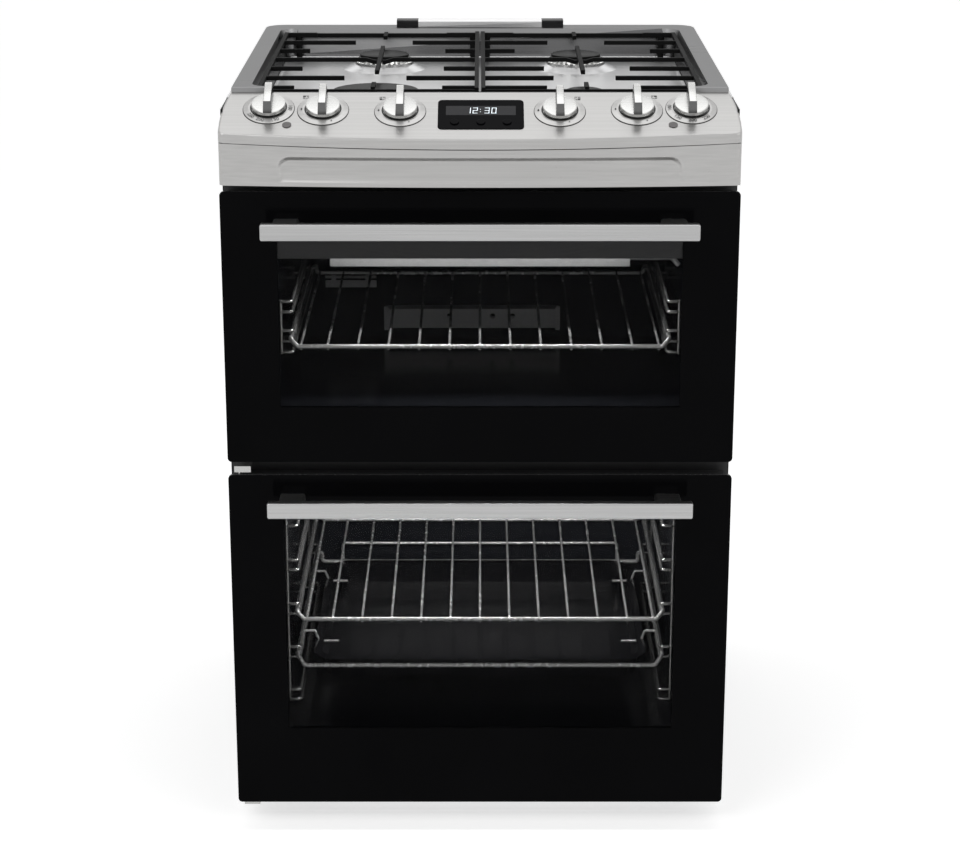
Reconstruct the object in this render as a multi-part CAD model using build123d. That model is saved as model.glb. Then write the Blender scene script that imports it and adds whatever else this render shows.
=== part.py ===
"""Double-oven gas cooker, 60 cm wide, free standing.

Millimetres, +Z up, front faces -Y. The origin is on the floor, under the middle of the whole cooker.
Depths are counted back from the front face of the doors, and at() turns one into a Y value.
"""
import math
import os

from build123d import *

# Whole cooker
WIDTH = 596.0
HOB_HEIGHT = 900.0
BODY_DEPTH = 588.0
BACK_PLATE_INSET = 20.0
SHEET = 1.2
GAP = 0.3
BASE_BOTTOM = 18.0
BASE_UPSTAND = 24.0

# Doors
GLASS = 4.0
DOOR_FRAME_DEPTH = 26.0
LOWER_DOOR_BOTTOM = 26.0
LOWER_DOOR_HEIGHT = 425.5
UPPER_DOOR_BOTTOM = 467.6
UPPER_DOOR_DROP = 6.9
DOOR_CORNER = 5.0
FRAME_INSET = 4.0
STILE = 40.0
UPPER_HEAD = 75.5
LOWER_HEAD = 40.0
FRAME_WALL = 1.2
INNER_GLASS_LAP = 12.0

# Door handles
HANDLE_INSET = 49.0
HANDLE_HEIGHT = 19.5
HANDLE_DEPTH = 13.0
HANDLE_STAND_OFF = 34.0
HANDLE_ROUND = 2.5
UPPER_HANDLE_DROP = 28.4
LOWER_HANDLE_DROP = 20.0
POST_INSET = 27.0
POST_LENGTH = 30.0
POST_HEIGHT = 13.0

# Door hinges
UPPER_AXIS_DEPTH = 12.0
UPPER_AXIS_RISE = 10.4
LOWER_AXIS_DEPTH = 14.0
LOWER_AXIS_INSET = 14.0
HINGE_PIN = 3.0
PIN_CLEARANCE = 0.05
PIN_LENGTH = 9.0
EAR_INSET = 26.0
EAR_THICKNESS = 4.0
EAR_RADIUS = 6.0
EAR_SLOT_CLEARANCE = 1.0
BRACKET_THICKNESS = 3.0
BRACKET_LENGTH = 25.0
BRACKET_CLEARANCE = 1.9
BRACKET_LIP = 4.5

# Casing front and ovens
CASING_DEPTH = 40.0
FRAME_PLATE = 1.6
OVEN_SIDE = 56.0
OVEN_BACK_GAP = 140.0
UPPER_OVEN_FLOOR = 505.0
UPPER_OVEN_DROP = 36.5
LOWER_OVEN_FLOOR = 92.0
LOWER_OVEN_HEIGHT = 330.0
LINER = 1.0
INSULATION = 24.0
SEAL_WIDTH = 7.0
SEAL_OFFSET = 3.0

# Shelf runners and shelves
RUNNER_INSET = 20.0
RUNNER_STEM_INSET = 6.5
RUNNER_RADIUS = 2.0
RUNNER_FRONT = 52.0
RUNNER_BACK_GAP = 8.0
RUNG_GAP = 12.7
RUNG_PITCH = 57.0
RUNG_BEND = 4.0
UPPER_RUNGS = (587.7, 601.3, 614.0, 637.0, 649.7)
LOWER_FIRST_RUNG = 141.0
LOWER_RUNG_PAIRS = 5
UPPER_SHELF_RUNG = 601.3
LOWER_SHELF_PAIR = 2
PAN_PAIR = 1
PAN_DROP = 14.1
SHELF_WIRE = 2.7
SHELF_RAIL_OUT = 2.0
SHELF_BAR_INSET = 6.0
SHELF_FRONT = 46.0
SHELF_DROP = 9.9
SHELF_BACK_GAP = 9.0
SHELF_JOG = 14.0
SHELF_BEND = 4.5
GRID_WIRE = 1.6
GRID_WIRES = 11
GRID_EDGE = 35.5
GRID_SIDE_INSET = 4.0

# Roasting pan
PAN_SIDE_GAP = 24.0
PAN_FRONT = 64.0
PAN_BACK_GAP = 15.0
PAN_HEIGHT = 26.0
PAN_CORNER = 24.0
PAN_RIM = 9.0
PAN_STOP_HEIGHT = 27.0
PAN_STOP_INSET = 10.0

# Control panel and fascia
PANEL_DEPTH = 73.0
PANEL_FRONT_DROP = 40.0
PANEL_RISE = 34.0
PANEL_LIP = 11.2
PANEL_BOW = 12.0
PANEL_REAR_INSET = 8.5
PANEL_CORNER = 7.0
PANEL_EDGE = 2.5
SEAM = 1.0
FASCIA_DROP = 100.5
RECESS_SIDE = 68.0
RECESS_TOP = 34.5
RECESS_BOTTOM = 5.5
RECESS_DEPTH = 5.0
RECESS_CORNER = 14.0
FASCIA_FLANGE = 14.0

# Knobs and taps
KNOB_INSETS = (55.5, 118.0, 206.5)
KNOB_SIDE_DEPTH = 45.5
KNOB_BOW = 8.4
BEZEL_RADIUS = 29.2
BEZEL_HEIGHT = 2.4
BEZEL_EDGE = 1.0
KNOB_RADIUS = 19.5
KNOB_SIDE_GAP = 0.8
KNOB_THICKNESS = 5.2
KNOB_LIFT = 3.6
GRIP_LENGTH = 42.0
GRIP_WIDTH = 10.0
GRIP_TOP_WIDTH = 8.4
GRIP_HEIGHT = 15.0
GRIP_SKEW = 4.0
STEM_RADIUS = 4.0
STEM_LENGTH = 30.0
STEM_CLEARANCE = 0.05
PUSH_TRAVEL = 3.0
PLUNGER_RADIUS = 7.5
PLUNGER_TOP = 15.0
PLUNGER_HEIGHT = 12.0
TAP_RADIUS = 13.0
TAP_TOP = 12.0
TAP_LENGTH = 40.0
RAIL_RADIUS = 8.0
RAIL_DEPTH = 92.0
RAIL_DROP = 70.0
INLET_RADIUS = 10.5
INLET_LENGTH = 16.0
INLET_INSET = 34.0
PIPE_RADIUS = 3.0
PIPE_BEND = 14.0

# Clock
CLOCK_PLACE = 1.0
CLOCK_WIDTH = 98.0
CLOCK_LENGTH = 57.0
CLOCK_DEPTH = 32.5
CLOCK_CORNER = 5.0
CLOCK_THICKNESS = 2.0
CLOCK_PROUD = 0.8
CLOCK_BOX_HEIGHT = 14.0
CLOCK_BOX_GAP = 5.4
BUTTON_PITCH = 30.0
BUTTON_RADIUS = 5.0
BUTTON_PROUD = 1.5
BUTTON_TRAVEL = 1.0
BUTTON_SIDE_GAP = 0.2
BUTTON_DROP = 16.0
LAMP_INSET = 78.0
LAMP_DEPTH = 14.1
LAMP_RADIUS = 5.3
LAMP_PROUD = 0.9
LAMP_LENGTH = 8.0

# Hob
HOB_SIDE_GAP = 10.0
HOB_BACK_GAP = 5.0
HOB_FRONT_GAP = 0.6
HOB_CORNER = 26.0
RIM_SIDE = 22.0
RIM_BACK = 36.0
RIM_FRONT = 6.0
RIM_FRONT_DROP = 6.5
WELL_DEPTH = 38.0
WELL_TAPER = 12.0
WELL_CORNER = 22.0
WELL_FLOOR_ROUND = 6.0
RIM_SKIRT = 20.0
DOME_HEIGHT = 6.0
DOME_SPREAD = 16.0
BURNER_SIDE = 163.0
BURNER_FRONT = 169.0
BURNER_BACK = 130.0
CAP_RADII = {"rear_left": 32.0, "rear_right": 32.0, "front_left": 52.0, "front_right": 23.0}
CAP_THICKNESS = 5.0
CAP_CROWN = 2.0
CROWN_HEIGHT = 8.0
CROWN_FLARE = 6.0
SPIGOT_SHARE = 0.6
SPIGOT_LENGTH = 9.0
BASE_WALL = 2.5
BASE_HEIGHT = 26.0
ELECTRODE_RADIUS = 2.4
ELECTRODE_GAP = 7.0
ELECTRODE_LENGTH = 30.0

# Pan supports
SUPPORT_DROP = 2.5
SUPPORT_BAR = 5.0
SUPPORT_BAR_HEIGHT = 5.0
SUPPORT_HALF_GAP = 1.3
SUPPORT_SIDE = 28.0
SUPPORT_FRONT = 86.0
SUPPORT_BACK_GAP = 45.0
SUPPORT_CORNER = 7.4
ROW_FRONT = 98.0
ROW_BACK = 14.0
ROWS = 7
STUB = 38.0
WIDE_STUB = 72.0
TIP_GAP = 37.0
REACH_GAP = 43.0
MID_DIP = 3.0
MID_DIP_WIDTH = 34.0
LEG_INSET = 8.0
LEG_OUTER_INSET = 19.0
LEG_RADIUS = 4.0

# Flue trim
FLUE_WIDTH = 224.0
FLUE_END = 28.0
FLUE_HEIGHT = 9.0
FLUE_DEPTH = 24.0

# Feet
FOOT_INSET = 48.0
FOOT_FRONT_DEPTH = 95.0
FOOT_BACK_GAP = 68.0
PAD_RADIUS = 20.0
PAD_HEIGHT = 9.0
FOOT_STUD = 5.0
FOOT_NUT = 9.0

# Mid rail
MID_CAP_PROUD = 2.0
MID_CAP_LENGTH = 34.0
MID_RAIL_BOTTOM = 453.0
MID_RAIL_TOP = 483.0
MID_RAIL_DEPTH = 22.0
MID_STUB = 10.0

# Rear and fixings
CABLE_HOLE = 10.0
CABLE_HEIGHT = 120.0
CABLE_INSET = 68.0
CHAIN_HOLE = 3.5
CHAIN_PLACE = 200.0
CHAIN_HEIGHT = 700.0
SCREW_HEAD = 4.0
SCREW_PROUD = 1.6
SCREW_PITCH = 170.0

# Oven fittings
GRILL_SIDE = 64.0
GRILL_FRONT = 86.0
GRILL_BACK_GAP = 98.0
GRILL_DROP = 79.0
GRILL_TUBE = 9.0
GRILL_FEED = 3.0
GRILL_FEED_DEPTH = 106.0
FLUE_BOX_WIDTH = 228.0
FLUE_BOX_PLACE = -10.6
FLUE_BOX_HOLES = (-40.6, 16.7, 43.0)
FLUE_BOX_EAR = 6.0
FLUE_BOX_HEIGHT = 26.0
FLUE_BOX_RISE = 16.8
FLUE_BOX_DEPTH = 20.0
FLUE_BOX_HOLE = 3.6
IGNITER_PLACE = -172.0
IGNITER_WIDTH = 68.0
IGNITER_HEIGHT = 19.0
IGNITER_RISE = 68.0
LAMP_GLASS = 16.0
OVEN_LAMP_DROP = 65.0
OVEN_LAMP_DEPTH = 330.0

# Worked out from the sizes above
HALF_WIDTH = WIDTH / 2
OVEN_WIDTH = WIDTH - 2 * OVEN_SIDE
HALF_OVEN = OVEN_WIDTH / 2
BACK_PLATE_DEPTH = BODY_DEPTH - BACK_PLATE_INSET
OVEN_BACK = BACK_PLATE_DEPTH - OVEN_BACK_GAP
FASCIA_BOTTOM = HOB_HEIGHT - FASCIA_DROP
PANEL_FRONT_HEIGHT = HOB_HEIGHT - PANEL_FRONT_DROP
PANEL_REAR_WIDTH = WIDTH - 2 * PANEL_REAR_INSET
RECESS_WIDTH = WIDTH - 2 * RECESS_SIDE
UPPER_OVEN_ROOF = FASCIA_BOTTOM - UPPER_OVEN_DROP
UPPER_OVEN_HEIGHT = UPPER_OVEN_ROOF - UPPER_OVEN_FLOOR
GRILL_WIDTH = OVEN_WIDTH - 2 * GRILL_SIDE
GRILL_BACK = OVEN_BACK - GRILL_BACK_GAP
GRILL_BOTTOM = UPPER_OVEN_ROOF - GRILL_DROP
OVEN_LAMP_HEIGHT = UPPER_OVEN_ROOF - OVEN_LAMP_DROP
HANDLE_LENGTH = WIDTH - 2 * HANDLE_INSET
POST_SPACING = HANDLE_LENGTH - 2 * POST_INSET
EAR_PLACE = HALF_WIDTH - EAR_INSET
RUNNER_SPACING = OVEN_WIDTH - 2 * RUNNER_INSET
RUNNER_STEM_SPACING = OVEN_WIDTH - 2 * RUNNER_STEM_INSET
RUNNER_BACK = OVEN_BACK - RUNNER_BACK_GAP
SHELF_BAR_WIDTH = RUNNER_SPACING - 2 * SHELF_BAR_INSET
SHELF_BACK = RUNNER_BACK - SHELF_BACK_GAP
GRID_PITCH = (SHELF_BAR_WIDTH - 2 * GRID_EDGE) / (GRID_WIRES - 1)
PAN_WIDTH = RUNNER_SPACING - 2 * PAN_SIDE_GAP
PAN_BACK = SHELF_BACK - PAN_BACK_GAP
PAN_STOP_WIDTH = PAN_WIDTH - 2 * PAN_STOP_INSET
LEFT_KNOBS = [inset - HALF_WIDTH for inset in KNOB_INSETS]
KNOB_PLACES = LEFT_KNOBS + [-x for x in reversed(LEFT_KNOBS)]
RAIL_HEIGHT = HOB_HEIGHT - RAIL_DROP
INLET_PLACE = HALF_WIDTH - INLET_INSET
CABLE_PLACE = CABLE_INSET - HALF_WIDTH
LAMP_PLACE = HALF_WIDTH - LAMP_INSET
FOOT_SPACING = WIDTH - 2 * FOOT_INSET
FOOT_BACK_DEPTH = BODY_DEPTH - FOOT_BACK_GAP
SIDE_INNER = HALF_WIDTH - SHEET
DOOR_THICKNESS = 2 * GLASS + DOOR_FRAME_DEPTH
HANDLE_FRONT = HANDLE_STAND_OFF + HANDLE_DEPTH
FRAME_HALF = HALF_WIDTH - 2 * FRAME_INSET
LINER_FRONT = CASING_DEPTH + FRAME_PLATE
PANEL_SLOPE = math.degrees(math.atan2(PANEL_RISE, PANEL_DEPTH))
WELL_FLOOR = HOB_HEIGHT - WELL_DEPTH
DOME_TOP = WELL_FLOOR + DOME_HEIGHT
HOB_WIDTH = WIDTH - 2 * HOB_SIDE_GAP
HOB_FRONT = PANEL_DEPTH + HOB_FRONT_GAP
HOB_BACK = BODY_DEPTH - HOB_BACK_GAP
BURNER_X = HOB_WIDTH / 2 - BURNER_SIDE
BURNER_PITCH = HOB_BACK - BURNER_BACK - BURNER_FRONT
SUPPORT_TOP = HOB_HEIGHT - SUPPORT_DROP
SUPPORT_OUTER = HOB_WIDTH / 2 - SUPPORT_SIDE
SUPPORT_BACK = HOB_BACK - SUPPORT_BACK_GAP
ROW_PITCH = (SUPPORT_BACK - ROW_BACK - ROW_FRONT) / (ROWS - 1)
SKIRT_BOTTOM = HOB_HEIGHT - RIM_SKIRT
LOWER_AXIS_X = LOWER_AXIS_INSET - HALF_WIDTH
UPPER_AXIS_HEIGHT = UPPER_DOOR_BOTTOM + UPPER_AXIS_RISE
LOWER_DOOR_TOP = LOWER_DOOR_BOTTOM + LOWER_DOOR_HEIGHT
UPPER_DOOR_TOP = FASCIA_BOTTOM - UPPER_DOOR_DROP

nodes = {}


def keep(name, *solids):
    """File the solids of one sub-part under its name."""
    nodes[name] = solids[0] if len(solids) == 1 else Compound(children=list(solids))


def at(depth):
    """Y of a depth behind the front face of the doors."""
    return depth - (BODY_DEPTH - HANDLE_FRONT) / 2


def block(x0, x1, d0, d1, z0, z1):
    """Box between two X values, two depths and two heights."""
    centre = ((x0 + x1) / 2, (at(d0) + at(d1)) / 2, (z0 + z1) / 2)
    return Pos(*centre) * Box(abs(x1 - x0), abs(d1 - d0), abs(z1 - z0))


def point(x, depth, z):
    return Vector(x, at(depth), z)


def rod(start, end, radius):
    """Straight round rod between two places, each X, depth and height."""
    first, last = point(*start), point(*end)
    along = last - first
    upright = Cylinder(radius, along.length, align=(Align.CENTER, Align.CENTER, Align.MIN))
    return Plane(origin=first, z_dir=along) * upright


def bent_rod(places, bend, radius, close=False):
    """Round rod bent through places, each X, depth and height."""
    path = FilletPolyline(*[point(*place) for place in places], radius=bend, close=close)
    start = Plane(origin=path @ 0, z_dir=path % 0)
    return sweep(start * Circle(radius), path=path)


def drum(place, radius, height):
    """Upright round bar standing on a place."""
    standing = Cylinder(radius, height, align=(Align.CENTER, Align.CENTER, Align.MIN))
    return Pos(*point(*place)) * standing


def side_profile(places, half):
    """Solid whose outline is drawn from the side, in depth and height, and runs across the cooker."""
    outline = Polygon(*[(at(depth), z) for depth, z in places], align=None)
    return extrude(Plane.YZ * outline, amount=half, both=True)


def panel_height(depth):
    """Height of the control panel's outer face at a depth."""
    return PANEL_FRONT_HEIGHT + PANEL_RISE / PANEL_DEPTH * depth


def on_panel(x, depth, rise=0.0):
    """Plane on the control panel's face, or above it, whose Z points straight out of it."""
    slope = math.radians(PANEL_SLOPE)
    out = Vector(0, -math.sin(slope), math.cos(slope))
    return Plane(origin=point(x, depth, panel_height(depth)) + out * rise, x_dir=(1, 0, 0), z_dir=out)


def knob_depth(x):
    """The knobs stand on a gentle curve, as the panel's front edge does."""
    return KNOB_SIDE_DEPTH - KNOB_BOW * (1 - (x / HALF_WIDTH) ** 2)


def disc(radius, height):
    return Cylinder(radius, height, align=(Align.CENTER, Align.CENTER, Align.MIN))


def mirrored(solid):
    return mirror(solid, about=Plane.YZ)


def casing():
    """Side panels, back, base, front frame and the rail between the doors."""
    side = block(SIDE_INNER, HALF_WIDTH, CASING_DEPTH, BODY_DEPTH, BASE_BOTTOM, SKIRT_BOTTOM)
    middle = (MID_RAIL_BOTTOM + MID_RAIL_TOP) / 2
    stub_depth = LINER_FRONT + MID_RAIL_DEPTH / 2
    slot = block(SIDE_INNER - 1, HALF_WIDTH + 1, stub_depth - MID_STUB / 2, stub_depth + MID_STUB / 2,
                 middle - MID_STUB / 2, middle + MID_STUB / 2)
    side -= slot
    keep("side_panels", side, mirrored(side))

    inside = SIDE_INNER
    back = block(-inside, inside, BACK_PLATE_DEPTH, BACK_PLATE_DEPTH + SHEET, BASE_BOTTOM, SKIRT_BOTTOM)
    back -= rod((INLET_PLACE, BACK_PLATE_DEPTH - 1, RAIL_HEIGHT),
                (INLET_PLACE, BODY_DEPTH, RAIL_HEIGHT), INLET_RADIUS + 1)
    back -= rod((CABLE_PLACE, BACK_PLATE_DEPTH - 1, CABLE_HEIGHT),
                (CABLE_PLACE, BODY_DEPTH, CABLE_HEIGHT), CABLE_HOLE)
    for x in (-CHAIN_PLACE, CHAIN_PLACE):
        back -= rod((x, BACK_PLATE_DEPTH - 1, CHAIN_HEIGHT), (x, BODY_DEPTH, CHAIN_HEIGHT), CHAIN_HOLE)
    keep("back_panel", back)

    base = block(-inside, inside, CASING_DEPTH + FRAME_PLATE, BACK_PLATE_DEPTH,
                 BASE_BOTTOM, BASE_BOTTOM + BASE_UPSTAND)
    base -= block(-inside + SHEET, inside - SHEET, CASING_DEPTH + FRAME_PLATE + SHEET,
                  BACK_PLATE_DEPTH - SHEET, BASE_BOTTOM + SHEET, BASE_BOTTOM + BASE_UPSTAND + 1)
    for x, depth in foot_places():
        base -= drum((x, depth, BASE_BOTTOM - 1), FOOT_STUD, SHEET + 2)
    keep("base_tray", base)

    front, behind = CASING_DEPTH, CASING_DEPTH + FRAME_PLATE
    top = FASCIA_BOTTOM
    upper_top = UPPER_OVEN_ROOF
    lower_top = LOWER_OVEN_FLOOR + LOWER_OVEN_HEIGHT
    stile = block(HALF_OVEN, inside, front, behind, BASE_BOTTOM, top)
    strips = [block(-HALF_OVEN, HALF_OVEN, front, behind, low, high) for low, high in
              ((BASE_BOTTOM, LOWER_OVEN_FLOOR), (lower_top, UPPER_OVEN_FLOOR), (upper_top, top))]
    keep("front_frame", stile, mirrored(stile), *strips)

    rail = block(-inside, inside, behind, behind + MID_RAIL_DEPTH, MID_RAIL_BOTTOM, MID_RAIL_TOP)
    rail -= block(-inside - 1, inside + 1, behind + SHEET, behind + MID_RAIL_DEPTH - SHEET,
                  MID_RAIL_BOTTOM + SHEET, MID_RAIL_TOP - SHEET)
    cap = block(HALF_WIDTH, HALF_WIDTH + MID_CAP_PROUD, CASING_DEPTH, CASING_DEPTH + MID_CAP_LENGTH,
                MID_RAIL_BOTTOM, MID_RAIL_TOP)
    cap = fillet(cap.edges().filter_by(Axis.X), MID_RAIL_DEPTH / 3)
    cap += block(inside - MID_RAIL_DEPTH, HALF_WIDTH, stub_depth - MID_STUB / 2, stub_depth + MID_STUB / 2,
                 middle - MID_STUB / 2, middle + MID_STUB / 2)
    web = block(inside - SHEET, inside, behind, behind + MID_RAIL_DEPTH, MID_RAIL_BOTTOM, MID_RAIL_TOP)
    keep("mid_rail", rail + web + cap + mirrored(web) + mirrored(cap))


def foot_places():
    half = FOOT_SPACING / 2
    return [(x, depth) for x in (-half, half) for depth in (FOOT_FRONT_DEPTH, FOOT_BACK_DEPTH)]


def feet():
    """Four levelling feet: pad, screw and nut in one piece each, clamped to the base."""
    standing = []
    for x, depth in foot_places():
        foot = drum((x, depth, 0), PAD_RADIUS, PAD_HEIGHT)
        foot = fillet(foot.edges().filter_by(GeomType.CIRCLE).sort_by(Axis.Z)[-1], PAD_HEIGHT / 3)
        foot += drum((x, depth, PAD_HEIGHT - 1), FOOT_STUD, BASE_BOTTOM + BASE_UPSTAND / 2 - PAD_HEIGHT)
        nut_height = BASE_BOTTOM - PAD_HEIGHT
        nut = Pos(*point(x, depth, PAD_HEIGHT)) * extrude(RegularPolygon(FOOT_NUT, 6), amount=nut_height)
        standing.append(foot + nut)
    keep("feet", *standing)


def oven(floor, height):
    """Enamelled oven lining: floor, roof, two sides and back, as plates that meet edge to edge."""
    low, high = floor, floor + height
    front, back = LINER_FRONT, OVEN_BACK
    side = block(HALF_OVEN, HALF_OVEN + LINER, front, back, low, high)
    return [block(-HALF_OVEN - LINER, HALF_OVEN + LINER, front, back, low - LINER, low),
            block(-HALF_OVEN - LINER, HALF_OVEN + LINER, front, back, high, high + LINER),
            side, mirrored(side),
            block(-HALF_OVEN - LINER, HALF_OVEN + LINER, back, back + LINER, low - LINER, high + LINER)]


def seal(floor, height):
    """Door seal on the front frame, all round one oven's mouth."""
    reach = SEAL_OFFSET + SEAL_WIDTH
    low, high = floor - SEAL_OFFSET, floor + height + SEAL_OFFSET
    front, back = DOOR_THICKNESS + GAP, CASING_DEPTH
    outer = block(-HALF_OVEN - reach, HALF_OVEN + reach, front, back, low - SEAL_WIDTH, high + SEAL_WIDTH)
    outer = fillet(outer.edges().filter_by(Axis.Y), reach)
    hole = block(-HALF_OVEN - SEAL_OFFSET, HALF_OVEN + SEAL_OFFSET, front - 1, back + 1, low, high)
    return outer - fillet(hole.edges().filter_by(Axis.Y), SEAL_OFFSET)


def ovens():
    """Linings, insulation, seals and what is fixed inside."""
    keep("upper_oven_liner", *oven(UPPER_OVEN_FLOOR, UPPER_OVEN_HEIGHT))
    keep("lower_oven_liner", *oven(LOWER_OVEN_FLOOR, LOWER_OVEN_HEIGHT))
    keep("oven_seals", seal(UPPER_OVEN_FLOOR, UPPER_OVEN_HEIGHT), seal(LOWER_OVEN_FLOOR, LOWER_OVEN_HEIGHT))

    slabs = []
    inner, outer = HALF_OVEN + LINER, HALF_OVEN + LINER + INSULATION
    back = OVEN_BACK + LINER
    for floor, height in ((UPPER_OVEN_FLOOR, UPPER_OVEN_HEIGHT), (LOWER_OVEN_FLOOR, LOWER_OVEN_HEIGHT)):
        low, high = floor - LINER, floor + height + LINER
        side = block(inner, outer, LINER_FRONT + MID_RAIL_DEPTH, back, low, high)
        slabs += [side, mirrored(side), block(-outer, outer, back, back + INSULATION, low, high)]
        slabs.append(block(-outer, outer, LINER_FRONT + MID_RAIL_DEPTH, back + INSULATION,
                           high, high + INSULATION))
    low = LOWER_OVEN_FLOOR - LINER
    slabs.append(block(-outer, outer, LINER_FRONT + MID_RAIL_DEPTH, back + INSULATION, low - INSULATION, low))
    keep("oven_insulation", *slabs)


def oven_fittings():
    """Grill, the two oven burners behind their covers, igniter and the oven lamp."""
    roof = UPPER_OVEN_ROOF
    half = GRILL_WIDTH / 2
    hood = block(-half, half, GRILL_FRONT, GRILL_BACK, GRILL_BOTTOM, roof)
    hood -= block(-half + SHEET, half - SHEET, GRILL_FRONT + SHEET, GRILL_BACK - SHEET,
                  GRILL_BOTTOM - 1, roof - SHEET)
    tube_height = (GRILL_BOTTOM + roof) / 2
    for x in (-half / 2, half / 2):
        hood += rod((x, GRILL_FRONT + SHEET, tube_height), (x, GRILL_BACK - SHEET, tube_height), GRILL_TUBE)
    feed = GRILL_BOTTOM + 2 * GRILL_FEED
    hood += bent_rod([(half - SHEET, GRILL_FEED_DEPTH, feed), (HALF_OVEN - 4 * GRILL_FEED, GRILL_FEED_DEPTH, feed),
                      (HALF_OVEN - 1.5 * GRILL_FEED, GRILL_FEED_DEPTH, feed - 3 * GRILL_FEED)],
                     2 * GRILL_FEED, GRILL_FEED)
    pieces = [hood]
    for floor in (UPPER_OVEN_FLOOR, LOWER_OVEN_FLOOR):
        low = floor + FLUE_BOX_RISE
        left, right = FLUE_BOX_PLACE - FLUE_BOX_WIDTH / 2, FLUE_BOX_PLACE + FLUE_BOX_WIDTH / 2
        face = OVEN_BACK - FLUE_BOX_DEPTH
        cover = block(left, right, face, OVEN_BACK, low, low + FLUE_BOX_HEIGHT)
        cover -= block(left + SHEET, right - SHEET, face + SHEET, OVEN_BACK + 1,
                       low - 1, low + FLUE_BOX_HEIGHT - SHEET)
        for x in (left, right):
            cover += block(x - FLUE_BOX_EAR / 2, x + FLUE_BOX_EAR / 2, face, face + SHEET,
                           low - FLUE_BOX_EAR / 2, low + FLUE_BOX_HEIGHT + FLUE_BOX_EAR / 2)
        for x in FLUE_BOX_HOLES:
            cover -= rod((x, face - 1, low + FLUE_BOX_HEIGHT / 1.6), (x, face + 2, low + FLUE_BOX_HEIGHT / 1.6),
                         FLUE_BOX_HOLE)
        burner_height = low + FLUE_BOX_HEIGHT / 3
        cover += rod((left + SHEET, OVEN_BACK - FLUE_BOX_DEPTH / 2, burner_height),
                     (right - SHEET, OVEN_BACK - FLUE_BOX_DEPTH / 2, burner_height), FLUE_BOX_DEPTH / 4)
        pieces.append(cover)
    low = UPPER_OVEN_FLOOR + IGNITER_RISE
    igniter = block(IGNITER_PLACE - IGNITER_WIDTH / 2, IGNITER_PLACE + IGNITER_WIDTH / 2,
                    OVEN_BACK - 2 * SHEET, OVEN_BACK, low, low + IGNITER_HEIGHT / 2)
    igniter += rod((IGNITER_PLACE - IGNITER_WIDTH / 2, OVEN_BACK - 6, low + IGNITER_HEIGHT * 0.8),
                   (IGNITER_PLACE + IGNITER_WIDTH / 2, OVEN_BACK - 6, low + IGNITER_HEIGHT * 0.8), 2.0)
    for x in (IGNITER_PLACE - IGNITER_WIDTH / 3, IGNITER_PLACE + IGNITER_WIDTH / 3):
        igniter += block(x - 3, x + 3, OVEN_BACK - 7, OVEN_BACK, low + IGNITER_HEIGHT / 3, low + IGNITER_HEIGHT)
    pieces.append(igniter)
    keep("oven_burners", *pieces)

    wall = (HALF_OVEN, OVEN_LAMP_DEPTH, OVEN_LAMP_HEIGHT)
    lamp = rod(wall, (HALF_OVEN - 5, OVEN_LAMP_DEPTH, OVEN_LAMP_HEIGHT), LAMP_GLASS + 4)
    dome = Pos(*point(HALF_OVEN - 4, OVEN_LAMP_DEPTH, OVEN_LAMP_HEIGHT)) * Sphere(LAMP_GLASS)
    keep_side = block(HALF_OVEN - 30, HALF_OVEN - 4, OVEN_LAMP_DEPTH - 30, OVEN_LAMP_DEPTH + 30,
                      OVEN_LAMP_HEIGHT - 30, OVEN_LAMP_HEIGHT + 30)
    keep("oven_lamp", lamp + (dome & keep_side))


def ladder(rungs):
    """One side's runner: two upright stems and a bent rod for each rung, for the right-hand wall."""
    stem, inner = RUNNER_STEM_SPACING / 2, RUNNER_SPACING / 2
    low, high = min(rungs), max(rungs)
    frame = rod((stem, RUNNER_FRONT, low - RUNNER_RADIUS), (stem, RUNNER_FRONT, high + RUNNER_RADIUS),
                RUNNER_RADIUS)
    frame += rod((stem, RUNNER_BACK, low - RUNNER_RADIUS), (stem, RUNNER_BACK, high + RUNNER_RADIUS),
                 RUNNER_RADIUS)
    for z in rungs:
        frame += bent_rod([(stem, RUNNER_FRONT, z), (inner, RUNNER_FRONT, z),
                           (inner, RUNNER_BACK, z), (stem, RUNNER_BACK, z)], RUNG_BEND, RUNNER_RADIUS)
    for depth in (RUNNER_FRONT, RUNNER_BACK):
        for z in (low + RUNG_GAP / 2, high - RUNG_GAP / 2):
            frame += rod((stem, depth, z), (HALF_OVEN, depth, z), RUNNER_RADIUS)
    return frame


def lower_rungs():
    bottoms = [LOWER_FIRST_RUNG + RUNG_PITCH * i for i in range(LOWER_RUNG_PAIRS)]
    return [z for low in bottoms for z in (low, low + RUNG_GAP)]


def rack(rail_height, drop, grid):
    """Wire shelf: side rails on the runners, front and rear bars that hang below them, and the grid of wires."""
    side, bar = RUNNER_SPACING / 2 + SHELF_RAIL_OUT, SHELF_BAR_WIDTH / 2
    low = rail_height - drop
    rear = RUNNER_SPACING / 2 - RUNNER_RADIUS - SHELF_WIRE - 2 * GAP
    right = [(rear, SHELF_BACK, low), (rear, SHELF_BACK, rail_height), (side, SHELF_BACK - SHELF_JOG, rail_height),
             (side, SHELF_FRONT, rail_height), (bar, SHELF_FRONT, low)]
    loop = [(-x, depth, z) for x, depth, z in right] + right[::-1]
    frame = bent_rod(loop, SHELF_BEND, SHELF_WIRE, close=True)
    if not grid:
        return frame
    first = -GRID_PITCH * (GRID_WIRES - 1) / 2
    level = low + SHELF_WIRE - GRID_WIRE
    behind = SHELF_FRONT + SHELF_WIRE + GRID_WIRE / 2
    edge = bar - GRID_SIDE_INSET
    for x in [-edge] + [first + GRID_PITCH * i for i in range(GRID_WIRES)] + [edge]:
        wire = [(x, SHELF_BACK, level), (x, behind, level), (x, behind, low - SHELF_WIRE - 1.5 * GRID_WIRE)]
        frame += bent_rod(wire, SHELF_BEND / 3, GRID_WIRE)
    return frame


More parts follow.
